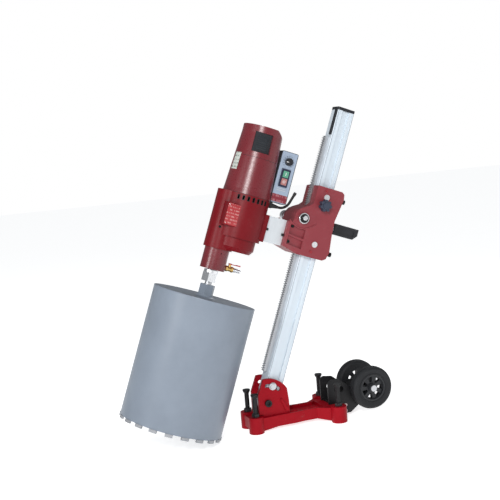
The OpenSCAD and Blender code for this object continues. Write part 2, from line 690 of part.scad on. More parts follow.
// ---- drill motor ----
pin_r = 7;               // shafts of the armature and layshaft
top_bearing_z = motor_top - 20;
module case_body(shrink, z0, z1) translate([0, 0, z0]) linear_extrude(z1 - z0) {
    translate([motor_a, 0]) circle(r = case_r - shrink);
    translate([spindle_a, 0]) circle(r = snout_r - shrink);
    translate([spindle_a, -snout_r + shrink])
        square([axis_step, 2 * (snout_r - shrink)]);
}
vent_count = 7;
module gear_case() color([0.52, 0.05, 0.09]) on_carriage() difference() {
    union() {
        case_body(0, case_bottom, case_top);
        zbar(spindle_a, 0, snout_r, case_low, 0);
        translate([motor_a, 0, bulge_low]) cylinder(r1 = 60, r2 = 71, h = 14);
        zbar(motor_a, 0, 71, bulge_low + 14, pit_low);
        block([motor_a, -46, arm_low - 4], [flange_a, 46, arm_high]);
        // raised field for the rating plate
        block([spindle_a - 30, -case_r + 8, -90], [spindle_a + 44, -30, -14]);
    }
    case_body(case_wall, pit_low, deck_low);
    zbar(motor_a, 0, case_r - case_wall, 0, case_top + 1);
    difference() {
        zbar(motor_a, 0, 60, bulge_low + 6, case_bottom);
        zbar(spindle_a, 0, 34, -200, 0);
    }
    // bearing seats
    zbar(motor_a, 0, 16, deck_low - 1, 1);
    zbar(lay_a, lay_y, 13, deck_low - 1, deck_low + 12);
    zbar(lay_a, lay_y, 13, -112, pit_low + 1);
    zbar(spindle_a, 0, 26, deck_low - 1, deck_low + 12);
    zbar(spindle_a, 0, spindle_r + 3, -200, -50);
    zbar(spindle_a, 0, 30, -120, -90);
    zbar(spindle_a, 0, 30, case_low - 1, case_low + 16);
    // cooling slots in the fan's chamber, and flange screw holes
    for (k = [0 : vent_count - 1]) for (s = [-1, 1])
        translate([motor_a, 0, 11]) rotate([0, 0, s * (90 + (k - 3) * 12)])
            block([case_r - 9, -3, -7], [case_r + 3, 3, 7]);
    for (z = spacer_bolt_zs, s = [-1, 1])
        xbar(flange_a - 14, flange_a + 1, s * spacer_bolt_y, z, 4);
}
function cone_r(z) = motor_r - cone_drop * (z - case_top) / (motor_len - 25);
module motor_envelope(z0, z1) translate([motor_a, 0, z0])
    cylinder(r1 = cone_r(z0), r2 = cone_r(z1), h = z1 - z0);
module motor_housing() color([0.52, 0.05, 0.09]) on_carriage() difference() {
    union() {
        motor_envelope(case_top, cover_z);
        // shoulders that run down onto the gear case
        both_sides() translate([motor_a, 0, case_top])
            cylinder(r1 = motor_r + 0.8, r2 = cone_r(case_top + 16), h = 16);
    }
    zbar(motor_a, 0, stator_r, case_top - 1, cover_z + 1);
}
win_a = motor_a - 14;
win_z = 201;
win_w = 60;
win_h = 66;
module motor_cover() color([0.52, 0.05, 0.09]) on_carriage() difference() {
    union() {
        motor_envelope(cover_z, motor_top - 25);
        zbar(motor_a, 0, cone_r(motor_top - 25), motor_top - 25, motor_top);
    }
    zbar(motor_a, 0, cover_bore, cover_z - 1, top_bearing_z);
    zbar(motor_a, 0, 16, top_bearing_z - 1, top_bearing_z + 11);
    // the rear of the top is cut off slanting
    translate([motor_a + cone_r(motor_top - 25), 0, motor_top - 25])
        rotate([0, -57, 0]) block([0, -100, -60], [60, 100, 100]);
    both_sides() {
        yplate(win_y, 100) translate([win_a, win_z]) square([win_w, win_h], true);
        yplate(40, 100) translate([win_a, win_z])
            square([win_w - 12, win_h - 12], true);
    }
}
win_y = 56;
module vent_grilles() color([0.07, 0.08, 0.1]) on_carriage() both_sides() difference() {
    yplate(win_y, win_y + 5) translate([win_a, win_z])
        square([win_w - 0.4, win_h - 0.4], true);
    for (k = [-3 : 3]) yplate(win_y - 1, win_y + 9)
        translate([win_a, win_z + k * 7]) square([win_w - 20, 3], true);
}
module stator() color([0.45, 0.35, 0.2]) on_carriage() translate([motor_a, 0, 0]) {
    translate([0, 0, 58]) ring(stator_r, 36, 84);
    for (z = [48, 142]) translate([0, 0, z]) ring(stator_r - 8, 40, 10 - (z > 99 ? 3 : 0));
}
brush_z = 158.7;
module brushes() color([0.2, 0.18, 0.15]) on_carriage() both_sides()
    translate([motor_a, 0, brush_z]) rotate([-90, 0, 0]) {
        translate([-4, -6, 22.4]) cube([8, 12, 20]);
        intersection() {
            translate([0, 0, 42.4]) cylinder(r = 8.5, h = 20);
            translate([0, 20, 0]) rotate([90, 0, 0]) cylinder(r = cover_bore, h = 40);
        }
    }
module bearing(r_out, r_in, h) {
    ring(r_out, (r_out + r_in) / 2 + 1.6, h);
    ring((r_out + r_in) / 2 - 1.6, r_in, h);
    translate([0, 0, h / 2]) rotate_extrude() translate([(r_out + r_in) / 2, 0])
        circle(r = 1.6, $fn = 24);
}
module bearings() color([0.7, 0.71, 0.73]) on_carriage() {
    translate([motor_a, 0, -12]) bearing(16, pin_r + fit, 11);
    translate([motor_a, 0, top_bearing_z]) bearing(16, pin_r + fit, 10);
    translate([lay_a, lay_y, deck_low + 1]) bearing(13, pin_r + fit, 10);
    translate([lay_a, lay_y, -112]) bearing(13, pin_r + fit, 11);
    translate([spindle_a, 0, deck_low + 1]) bearing(26, spindle_r + fit, 10);
    translate([spindle_a, 0, -120]) bearing(30, spindle_r + fit, 14);
    translate([spindle_a, 0, case_low]) bearing(30, spindle_r + fit, 14);
    both_sides() translate([pinion_a, pinion_face + 3, 0]) rotate([-90, 0, 0])
        ring(feed_bearing_r, shaft_r + fit, 12);
    both_sides() translate([pinion_a, carriage_w - 9, 0]) rotate([-90, 0, 0])
        ring(feed_bearing_r, shaft_r + fit, 9);
}
port_z = collar_low + 14;
module water_collar() color([0.6, 0.07, 0.11]) on_carriage() difference() {
    union() {
        zbar(spindle_a, 0, collar_r, collar_low, case_low);
        xbar(spindle_a, spindle_a + collar_r + 3, 0, port_z, 9);
    }
    zbar(spindle_a, 0, spindle_r + 1, collar_low - 1, case_low + 1);
    for (z = seal_zs) zbar(spindle_a, 0, spindle_r + 7, z, z + 9);
    xbar(spindle_a, spindle_a + collar_r + 4, 0, port_z, 4);
    ybar(spindle_a + 4, collar_low + 58, 2, -60, -spindle_r);
}
seal_zs = [collar_low + 26, collar_low + 44];
module collar_seals() color([0.1, 0.1, 0.1]) on_carriage() for (z = seal_zs)
    translate([spindle_a, 0, z]) ring(spindle_r + 7, spindle_r + 0.1, 9);
valve_a = spindle_a + collar_r + 3;
module valve_body() color([0.78, 0.6, 0.25]) on_carriage() difference() {
    union() {
        translate([valve_a, 0, port_z]) rotate([0, 90, 0]) hexbar(17, 7);
        xbar(valve_a + 6, valve_a + 21, 0, port_z, 8);
        translate([valve_a + 20, 0, port_z]) rotate([0, 90, 0]) hexbar(17, 6);
        zbar(valve_a + 13, 0, 5, port_z, port_z + 15);
    }
    xbar(valve_a - 1, valve_a + 27, 0, port_z, 4);
}
module hose_nozzle() color([0.75, 0.76, 0.78]) on_carriage()
    translate([valve_a + 26, 0, port_z]) rotate([0, 90, 0]) rotate_extrude()
        polygon([[4, 0], [8, 0], [8, 5], [6, 6], [6, 10], [7.5, 10], [6, 16],
            [7.5, 16], [6, 22], [7.5, 22], [6, 28], [4, 28]]);
module valve_lever() color([0.7, 0.06, 0.08]) on_carriage() {
    translate([valve_a + 13, 0, port_z + 15 + gap]) {
        cylinder(r = 6, h = 4);
        translate([0, -4, 0]) cube([34, 8, 2.5]);
        translate([22, -5, 0]) cube([14, 10, 4]);
    }
}
box_r = 5;
module box_outline(shrink) translate([box_a + box_w / 2, box_z + box_h / 2])
    round_rect(box_w - 2 * shrink, box_h - 2 * shrink, box_r - shrink / 2);
dial_z = box_z + 144;
switch_z = box_z + 88;
mid_a = box_a + box_w / 2;
switch_w = 32;
switch_h = 62;
button_w = 20;
button_h = 22;
module control_box() color([0.07, 0.07, 0.08]) on_carriage() difference() {
    yplate(panel_y + panel_t, box_y) box_outline(0);
    yplate(panel_y, box_y - 3) box_outline(3);
    ybar(box_a + 16, box_z + 60, 2.6, box_y - 10, box_y + 10);
    translate([lead_line[0][0] - 12, lead_y, box_z - 5])
        cylinder(r = 4, h = 20);
}
module control_panel() color([0.75, 0.77, 0.8]) on_carriage() difference() {
    yplate(panel_y, panel_y + panel_t) box_outline(0);
    ybar(mid_a, dial_z, 4.2, panel_y - 5, 0);
    yplate(panel_y - 5, 0) translate([mid_a, switch_z])
        square([switch_w - 6, switch_h - 6], true);
}
// The frame stands on the panel, and holds both buttons in their guides
module switch_frame() color([0.06, 0.08, 0.16]) on_carriage() difference() {
    union() {
        yplate(panel_y - 4, panel_y) translate([mid_a, switch_z])
            round_rect(switch_w, switch_h, 3);
        yplate(panel_y, panel_y + 24) translate([mid_a, switch_z])
            square([switch_w - 6, switch_h - 6], true);
    }
    for (s = [-1, 1]) yplate(panel_y - 5, panel_y + 16)
        translate([mid_a, switch_z + s * 13])
            square([button_w + 2 * gap, button_h + 2 * gap], true);
}
module button(s) yplate(panel_y - 7, panel_y + 10)
    translate([mid_a, switch_z + s * 13]) square([button_w, button_h], true);
module start_button() color([0.2, 0.65, 0.45]) on_carriage() button(1);
module stop_button() color([0.85, 0.35, 0.35]) on_carriage() button(-1);
module speed_dial() color([0.08, 0.08, 0.09]) on_carriage() {
    ybar(mid_a, dial_z, 13, panel_y - 12, panel_y - gap);
    ybar(mid_a, dial_z, 4, panel_y - gap, panel_y + 14);
    translate([mid_a, 0, dial_z]) rotate([0, -100, 0])
        block([-1, panel_y - 13, 2], [1, panel_y - 12, 12]);
}
// The bracket bridges from the motor case to the box's back
module box_bracket() color([0.62, 0.3, 0.32]) on_carriage() difference() {
    union() {
        block([motor_a + 40, box_y, box_z + 34], [box_a + 40, box_y + 5, box_z + 84]);
        block([motor_a + 60, box_y, box_z + 34], [box_a - 1, box_y + 18, box_z + 84]);
    }
    motor_envelope(case_top, cover_z);
    ybar(box_a + 16, box_z + 60, 2.6, 0, 40);
}
gland_a = box_a + 10.5;
module cable_gland() color([0.06, 0.06, 0.06]) on_carriage() difference() {
    union() {
        block([gland_a - 10, lead_y - 9, 5], [gland_a + 5, lead_y + 9, box_z]);
        xbar(gland_a + 5, gland_a + 12, lead_y, lead_line[0][1], 8);
    }
    translate([gland_a, lead_y, lead_line[0][1]]) cylinder(r = 4, h = 20);
}

// ---- mains lead ----
lead_sides = 8;
function along(p, i) = let (n = len(p), a = p[max(i - 1, 0)], b = p[min(i + 1, n - 1)],
    d = b - a) d / norm(d);
function lead_ring(i) = let (t = along(lead_line, i), p = lead_line[i]) [
    for (k = [0 : lead_sides - 1]) let (s = 360 * k / lead_sides,
        u = lead_d / 2 * cos(s), v = lead_d / 2 * sin(s))
        [p[0] - t[1] * u, lead_y + v, p[1] + t[0] * u]];
module mains_lead() color([0.05, 0.05, 0.05]) on_carriage() {
    n = len(lead_line);
    polyhedron(points = [for (i = [0 : n - 1]) each lead_ring(i)],
        faces = concat([[for (k = [lead_sides - 1 : -1 : 0]) k]],
            [[for (k = [0 : lead_sides - 1]) (n - 1) * lead_sides + k]],
            [for (i = [0 : n - 2], k = [0 : lead_sides - 1])
                let (j = (k + 1) % lead_sides) [i * lead_sides + k,
                    i * lead_sides + j, (i + 1) * lead_sides + j,
                    (i + 1) * lead_sides + k]]));
}
module lead_end() color([0.04, 0.04, 0.04]) on_carriage() {
    n = len(lead_line);
    t = along(lead_line, n - 1);
    translate([lead_line[n - 1][0], lead_y, lead_line[n - 1][1]])
        rotate([0, atan2(t[0], t[1]), 0]) cylinder(r = lead_d / 2 + 0.8, h = 11);
}

// ---- turning pieces inside the motor ----
fan_r = case_r - case_wall - 8;
module armature() color([0.6, 0.5, 0.35]) on_carriage() translate([motor_a, 0, 0]) {
    translate([0, 0, -40]) cylinder(r = pin_r - 2, h = 10);
    translate([0, 0, -40]) gear(lay_module, lay_small, lay_turn, 22);
    translate([0, 0, -18]) cylinder(r = pin_r, h = top_bearing_z + 27);
    translate([0, 0, 60]) cylinder(r = 35, h = 80);
    translate([0, 0, 46]) cylinder(r = 30, h = 103);
    translate([0, 0, 148]) cylinder(r = 22, h = 28);
}
module cooling_fan() color([0.15, 0.15, 0.16]) on_carriage()
    translate([motor_a, 0, 4]) difference() {
        union() {
            cylinder(r = 14, h = 16);
            cylinder(r = fan_r, h = 2);
            for (k = [0 : 11]) rotate([0, 0, 30 * k]) translate([12, -1, 0])
                cube([fan_r - 13, 2, 14]);
        }
        translate([0, 0, -1]) cylinder(r = pin_r, h = 20);
    }
module layshaft() color([0.6, 0.61, 0.63]) on_carriage()
    translate([lay_a, lay_y, 0]) {
        translate([0, 0, -111]) cylinder(r = pin_r, h = 104);
        translate([0, 0, -38]) gear(lay_module, lay_big,
            lay_turn + 180 + 180 / lay_big, 16);
        translate([0, 0, -78]) gear(out_module, out_small, out_turn, 34);
    }
module spindle() color([0.7, 0.71, 0.73]) on_carriage() translate([spindle_a, 0, 0]) {
    translate([0, 0, collar_low - 42]) cylinder(r = spindle_r, h = -collar_low + 36);
    translate([0, 0, -74]) gear(out_module, out_big,
        out_turn + 180 + 180 / out_big, 24);
    translate([0, 0, collar_low - 55]) cylinder(r = 12, h = 14);
}
nut_low = collar_low - 42;
module adapter_nut() color([0.8, 0.81, 0.83]) on_carriage()
    translate([spindle_a, 0, nut_low]) difference() {
        union() {
            hexbar(48, 30);
            translate([0, 0, 30]) cylinder(r = 25, h = 9);
        }
        translate([0, 0, -1]) cylinder(r = spindle_r, h = 50);
    }
module core_bit() color([0.5, 0.54, 0.6]) on_carriage() translate([spindle_a, 0, 0]) {
    tube_low = bit_top - bit_len + segment_h;
    difference() {
        translate([0, 0, tube_low]) cylinder(r = bit_r - 2, h = bit_top - tube_low, $fn = 128);
        translate([0, 0, tube_low - 1])
            cylinder(r = bit_r - 2 - bit_wall, h = bit_top - tube_low - plate_h + 1, $fn = 128);
        translate([0, 0, bit_top - plate_h - 1]) cylinder(r = 13, h = 50);
    }
    translate([0, 0, bit_top]) difference() {
        union() {
            cylinder(r = 27, h = 8);
            hexbar(46, 42);
        }
        translate([0, 0, -1]) cylinder(r = 13, h = 60);
    }
}
module bit_segments() color([0.55, 0.57, 0.6]) on_carriage()
    translate([spindle_a, 0, bit_top - bit_len]) intersection() {
        difference() {
            cylinder(r = bit_r, h = segment_h, $fn = 128);
            translate([0, 0, -1]) cylinder(r = bit_r - bit_wall - 4, h = 40, $fn = 128);
        }
        union() for (k = [0 : segment_count - 1]) rotate([0, 0, k * 360 / segment_count])
            block([bit_r - 20, -13, -1], [bit_r + 5, 13, 40]);
    }

base_casting();
tilt_cheeks();
wheel_bracket();
wheel_axle();
base_fasteners();
pivot_bolt();
levelling_screw_front_near();
levelling_screw_front_far();
levelling_screw_rear_near();
levelling_screw_rear_far();
near_tyre();
near_rim();
far_tyre();
far_rim();
column();
column_cap();
rack();
column_fasteners();
column_foot();
carriage_casting();
roller_axles();
carriage_fasteners();
gib_adjusters();
motor_spacer();
guide_rollers_low();
guide_rollers_top();
clamp_knob();
feed_shaft();
feed_lever();
feed_grip();
gear_case();
motor_housing();
motor_cover();
vent_grilles();
stator();
brushes();
bearings();
water_collar();
collar_seals();
valve_body();
hose_nozzle();
control_box();
control_panel();
switch_frame();
box_bracket();
cable_gland();
mains_lead();
lead_end();
armature();
cooling_fan();
layshaft();
spindle();
adapter_nut();
core_bit();
bit_segments();
valve_lever();
speed_dial();
start_button();
stop_button();
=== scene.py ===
"""Looks of a wheeled core drill rig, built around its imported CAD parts.

The CAD nodes keep their shapes and get procedural finishes. The pieces made
here are the small ones that a maker adds last: plates, labels, seams, beads,
screw heads, the mains lead and the marks on the control panel.
"""

import json
import logging
import math
from dataclasses import dataclass
from enum import Enum
from typing import Any, Callable, Sequence, TypeAlias

import bmesh
import bpy
from mathutils import Matrix, Vector


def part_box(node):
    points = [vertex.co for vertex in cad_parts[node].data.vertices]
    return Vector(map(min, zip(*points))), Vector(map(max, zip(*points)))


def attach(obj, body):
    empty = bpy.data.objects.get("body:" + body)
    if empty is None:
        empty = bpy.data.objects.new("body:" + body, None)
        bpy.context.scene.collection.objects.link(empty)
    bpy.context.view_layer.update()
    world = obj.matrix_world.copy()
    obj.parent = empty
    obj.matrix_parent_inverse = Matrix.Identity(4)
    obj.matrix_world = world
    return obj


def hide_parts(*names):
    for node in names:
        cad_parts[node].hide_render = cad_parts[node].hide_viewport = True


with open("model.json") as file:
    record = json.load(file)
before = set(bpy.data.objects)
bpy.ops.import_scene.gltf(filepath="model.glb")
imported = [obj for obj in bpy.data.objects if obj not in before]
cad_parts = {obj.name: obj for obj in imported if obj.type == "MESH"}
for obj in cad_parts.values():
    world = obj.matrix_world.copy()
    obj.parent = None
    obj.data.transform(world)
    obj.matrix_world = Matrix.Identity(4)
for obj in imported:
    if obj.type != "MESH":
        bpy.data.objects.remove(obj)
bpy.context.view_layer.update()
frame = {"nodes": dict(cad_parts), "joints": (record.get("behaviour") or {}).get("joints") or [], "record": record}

Colour = tuple[float, float, float]
Point2 = tuple[float, float]
Point3 = tuple[float, float, float]
Number: TypeAlias = "float | int | Value"
MM = 0.001
LOG = logging.getLogger("rig")


# ---------------------------------------------------------------- shader kit
class Value:
    """One socket of a shader that takes part in Python arithmetic."""

    def __init__(self, graph: "Graph", socket: bpy.types.NodeSocket) -> None:
        """Wraps a socket.

        Args:
            graph: The graph that the socket belongs to.
            socket: The output socket that carries the number or colour.
        """
        self.graph = graph
        self.socket = socket

    def __add__(self, other: Number) -> "Value":
        """Adds."""
        return self.graph.math("ADD", self, other)

    def __radd__(self, other: Number) -> "Value":
        """Adds, with the number first."""
        return self.graph.math("ADD", other, self)

    def __sub__(self, other: Number) -> "Value":
        """Subtracts."""
        return self.graph.math("SUBTRACT", self, other)

    def __rsub__(self, other: Number) -> "Value":
        """Subtracts from a number."""
        return self.graph.math("SUBTRACT", other, self)

    def __mul__(self, other: Number) -> "Value":
        """Multiplies."""
        return self.graph.math("MULTIPLY", self, other)

    def __rmul__(self, other: Number) -> "Value":
        """Multiplies, with the number first."""
        return self.graph.math("MULTIPLY", other, self)

    def __gt__(self, other: Number) -> "Value":
        """One where this is larger."""
        return self.graph.math("GREATER_THAN", self, other)

    def __lt__(self, other: Number) -> "Value":
        """One where this is smaller."""
        return self.graph.math("LESS_THAN", self, other)

    def step(self, low: float, high: float) -> "Value":
        """A smooth step from 0 to 1.

        Args:
            low: Where the step starts.
            high: Where the step ends.

        Returns:
            The stepped value, held between 0 and 1.
        """
        return self.graph.add(
            "ShaderNodeMapRange",
            {"interpolation_type": "SMOOTHSTEP"},
            {0: self, 1: low, 2: high, 3: 0.0, 4: 1.0},
        )

    def sine(self) -> "Value":
        """The sine of this."""
        return self.graph.math("SINE", self)


class Graph:
    """The nodes of a material or of the world."""

    def __init__(self, owner: bpy.types.Material | bpy.types.World) -> None:
        """Empties the owner's node tree and takes it over.

        Args:
            owner: The material or world.
        """
        owner.use_nodes = True
        self.tree = owner.node_tree
        self.tree.nodes.clear()

    def end(self, kind: str, last: Value) -> None:
        """Links the last value to an output node of a type."""
        self.feed(self.tree.nodes.new(kind).inputs[0], last)

    def add(
        self,
        kind: str,
        settings: dict[str, Any],
        sockets: dict[int | str, Any],
        out: int | str = 0,
    ) -> Value:
        """Adds any node.

        Args:
            kind: The node's type.
            settings: The node's own settings, which are set first.
            sockets: Values or links for its input sockets.
            out: The output that is wanted.

        Returns:
            That output.
        """
        node = self.tree.nodes.new(kind)
        for key, value in settings.items():
            setattr(node, key, value)
        for key, value in sockets.items():
            self.feed(node.inputs[key], value)
        return Value(self, node.outputs[out])

    def feed(self, socket: bpy.types.NodeSocket, value: Any) -> None:
        """Links or sets one input socket.

        Args:
            socket: The input socket.
            value: A Value to link, or a number or colour to set.
        """
        if isinstance(value, Value):
            self.tree.links.new(value.socket, socket)
        elif socket.type == "RGBA" and len(value) == 3:
            socket.default_value = (*value, 1.0)
        else:
            socket.default_value = value

    def math(self, operation: str, first: Number, second: Number = 0.0) -> Value:
        """A Math node on one or two values."""
        return self.add(
            "ShaderNodeMath", {"operation": operation}, {0: first, 1: second}
        )

    def mix(self, share: Number, first: Any, second: Any) -> Value:
        """A colour between two colours.

        Args:
            share: How much of the second colour.
            first: The first colour.
            second: The second colour.

        Returns:
            The mixed colour.
        """
        return self.add(
            "ShaderNodeMix", {"data_type": "RGBA"}, {0: share, 6: first, 7: second}, 2
        )

    def place(self, stretch: Point3 = (1.0, 1.0, 1.0), leaning: bool = False) -> Value:
        """The point on the piece, in its own rest frame.

        Args:
            stretch: A scale for each axis, after leaning.
            leaning: Whether the axes are turned to lie along the column.

        Returns:
            The point, as a vector.
        """
        point = self.add("ShaderNodeTexCoord", {}, {}, "Object")
        if leaning:
            point = self.add(
                "ShaderNodeMapping", {}, {"Vector": point, "Rotation": (0, -LEAN, 0)}
            )
        return self.add("ShaderNodeMapping", {}, {"Vector": point, "Scale": stretch})

    def noise(self, point: Value, scale: float, detail: float = 3.0) -> Value:
        """Smooth noise from 0 to 1.

        Args:
            point: Where on the piece.
            scale: How many cells there are in a metre.
            detail: How many finer layers are laid over it.

        Returns:
            The noise.
        """
        return self.add(
            "ShaderNodeTexNoise",
            {},
            {"Vector": point, "Scale": scale, "Detail": detail, "Roughness": 0.6},
        )

    def axis(self, point: Value, name: str) -> Value:
        """One coordinate of a point, by its letter."""
        return self.add("ShaderNodeSeparateXYZ", {}, {0: point}, name)


class Surface(Graph):
    """The nodes of one material, round a single shader."""

    def __init__(self, name: str) -> None:
        """Makes a material with a bare shader.

        Args:
            name: What the finish is called.
        """
        self.material = bpy.data.materials.new(f"{name}_finish")
        super().__init__(self.material)
        self.shader = self.tree.nodes.new("ShaderNodeBsdfPrincipled")
        self.end("ShaderNodeOutputMaterial", Value(self, self.shader.outputs[0]))

    def bump(self, height: Value, depth: float) -> None:
        """Feeds a height in metres to the shader's normal.

        Args:
            height: The height, from 0 to 1.
            depth: How deep that is, in metres.
        """
        normal = self.add(
            "ShaderNodeBump", {}, {"Height": height, "Distance": depth, "Strength": 1.0}
        )
        self.feed(self.shader.inputs["Normal"], normal)

    def set(self, **values: Any) -> None:
        """Sets or links the shader's own sockets, named with underscores."""
        for key, value in values.items():
            self.feed(self.shader.inputs[key.replace("_", " ")], value)


def shade(colour: Colour, gain: float) -> Colour:
    """A colour made lighter or darker by a gain."""
    return tuple(min(1.0, c * gain) for c in colour)


# ------------------------------------------------------------------- finishes
@dataclass(frozen=True)
class Enamel:
    """Paint over a casting or sheet, with dust, fine peel and small chips."""

    name: str
    colour: Colour
    rough: float = 0.34
    cast: float = 0.00025
    dust: float = 0.12
    chips: float = 0.5
    gloss: float = 0.35

    def make(self) -> bpy.types.Material:
        """Builds the material.

        Returns:
            The new material.
        """
        g = Surface(self.name)
        point = g.place()
        broad = g.noise(point, 9.0, 4.0)
        fine = g.noise(point, 170.0, 5.0)
        tone = g.mix(broad, shade(self.colour, 0.82), shade(self.colour, 1.16))
        grey = tuple(0.5 * c + 0.07 for c in self.colour)
        dusty = (broad * fine).step(0.22, 0.5) * self.dust
        tone = g.mix(dusty, tone, grey)
        chip = (g.noise(point, 320.0, 2.0) * broad).step(0.44, 0.47) * self.chips
        tone = g.mix(chip, tone, (0.16, 0.15, 0.15))
        g.set(
            Base_Color=tone,
            Roughness=self.rough + 0.18 * fine + 0.2 * dusty,
            Metallic=0.0,
            Specular_IOR_Level=self.gloss,
        )
        peel = g.noise(point, 1100.0, 2.0) * 0.25 + fine * 0.6 - chip * 0.4
        g.bump(peel, self.cast)
        return g.material


@dataclass(frozen=True)
class Metal:
    """Bare metal with drawn, turned or brushed streaks."""

    name: str
    colour: Colour
    rough: float = 0.3
    streaks: Point3 = (900.0, 900.0, 24.0)
    leaning: bool = True
    stain: float = 0.15
    metallic: float = 1.0
    depth: float = 0.00002

    def make(self) -> bpy.types.Material:
        """Builds the material.

        Returns:
            The new material.
        """
        g = Surface(self.name)
        line = g.noise(g.place(self.streaks, self.leaning), 1.0, 3.0)
        broad = g.noise(g.place(), 14.0, 4.0)
        tone = g.mix(line, shade(self.colour, 0.86), shade(self.colour, 1.1))
        tone = g.mix(broad.step(0.5, 0.75) * self.stain, tone, shade(self.colour, 0.6))
        g.set(
            Base_Color=tone,
            Metallic=self.metallic,
            Roughness=self.rough + 0.14 * line + 0.12 * broad,
        )
        g.bump(line, self.depth)
        return g.material


@dataclass(frozen=True)
class Moulding:
    """Moulded plastic or rubber with a fine spark-eroded grain."""

    name: str
    colour: Colour
    rough: float = 0.42
    grain: float = 1400.0
    depth: float = 0.00006
    scuffs: float = 0.1

    def make(self) -> bpy.types.Material:
        """Builds the material.

        Returns:
            The new material.
        """
        g = Surface(self.name)
        point = g.place()
        grain = g.noise(point, self.grain, 2.0)
        broad = g.noise(point, 30.0, 5.0)
        scuff = g.noise(g.place((60.0, 900.0, 200.0)), 1.0, 3.0).step(0.6, 0.72)
        tone = g.mix(broad, shade(self.colour, 0.8), shade(self.colour, 1.2))
        pale = tuple(0.75 * c + 0.08 for c in self.colour)
        tone = g.mix(scuff * self.scuffs, tone, pale)
        g.set(
            Base_Color=tone,
            Roughness=self.rough + 0.16 * broad + 0.1 * grain,
            Metallic=0.0,
        )
        g.bump(grain, self.depth)
        return g.material


@dataclass(frozen=True)
class TwoTone:
    """Fasteners of one node that carry two platings, split at a height or reach."""

    name: str
    near: Colour
    beyond: Colour
    split: float
    axis: str = "Z"
    rough: float = 0.35

    def make(self) -> bpy.types.Material:
        """Builds the material.

        Returns:
            The new material.
        """
        g = Surface(self.name)
        place = g.axis(g.place(leaning=self.axis == "X"), self.axis)
        broad = g.noise(g.place(), 120.0, 4.0)
        share = place.step(self.split - 0.001, self.split + 0.001)
        tone = g.mix(share, self.near, self.beyond)
        tone = g.mix(broad.step(0.5, 0.8) * 0.25, tone, shade(self.near, 0.6))
        g.set(Base_Color=tone, Roughness=self.rough + 0.2 * broad, Metallic=0.0)
        g.bump(broad, 0.00004)
        return g.material


@dataclass(frozen=True)
class Print:
    """A printed plate: rows of plain bars on a ground, with no lettering."""

    name: str
    ground: Colour
    ink: Colour
    rows: float = 150.0
    share: float = 0.45
    rough: float = 0.35

    def make(self) -> bpy.types.Material:
        """Builds the material.

        Returns:
            The new material.
        """
        g = Surface(self.name)
        point = g.place(leaning=True)
        row = (g.axis(point, "Z") * self.rows * math.tau).sine() > 0.2
        breaks = g.noise(g.place((420.0, 420.0, self.rows), True), 1.0, 0.0)
        bar = row * (breaks > 0.5) * self.share
        worn = g.noise(point, 60.0, 4.0)
        tone = g.mix(bar, self.ground, self.ink)
        tone = g.mix(worn.step(0.45, 0.8) * 0.2, tone, shade(self.ground, 0.7))
        g.set(Base_Color=tone, Roughness=self.rough + 0.2 * worn, Metallic=0.0)
        g.bump(bar, 0.00003)
        return g.material


# the materials made so far, by the name of their finish
MADE: dict[str, bpy.types.Material] = {}


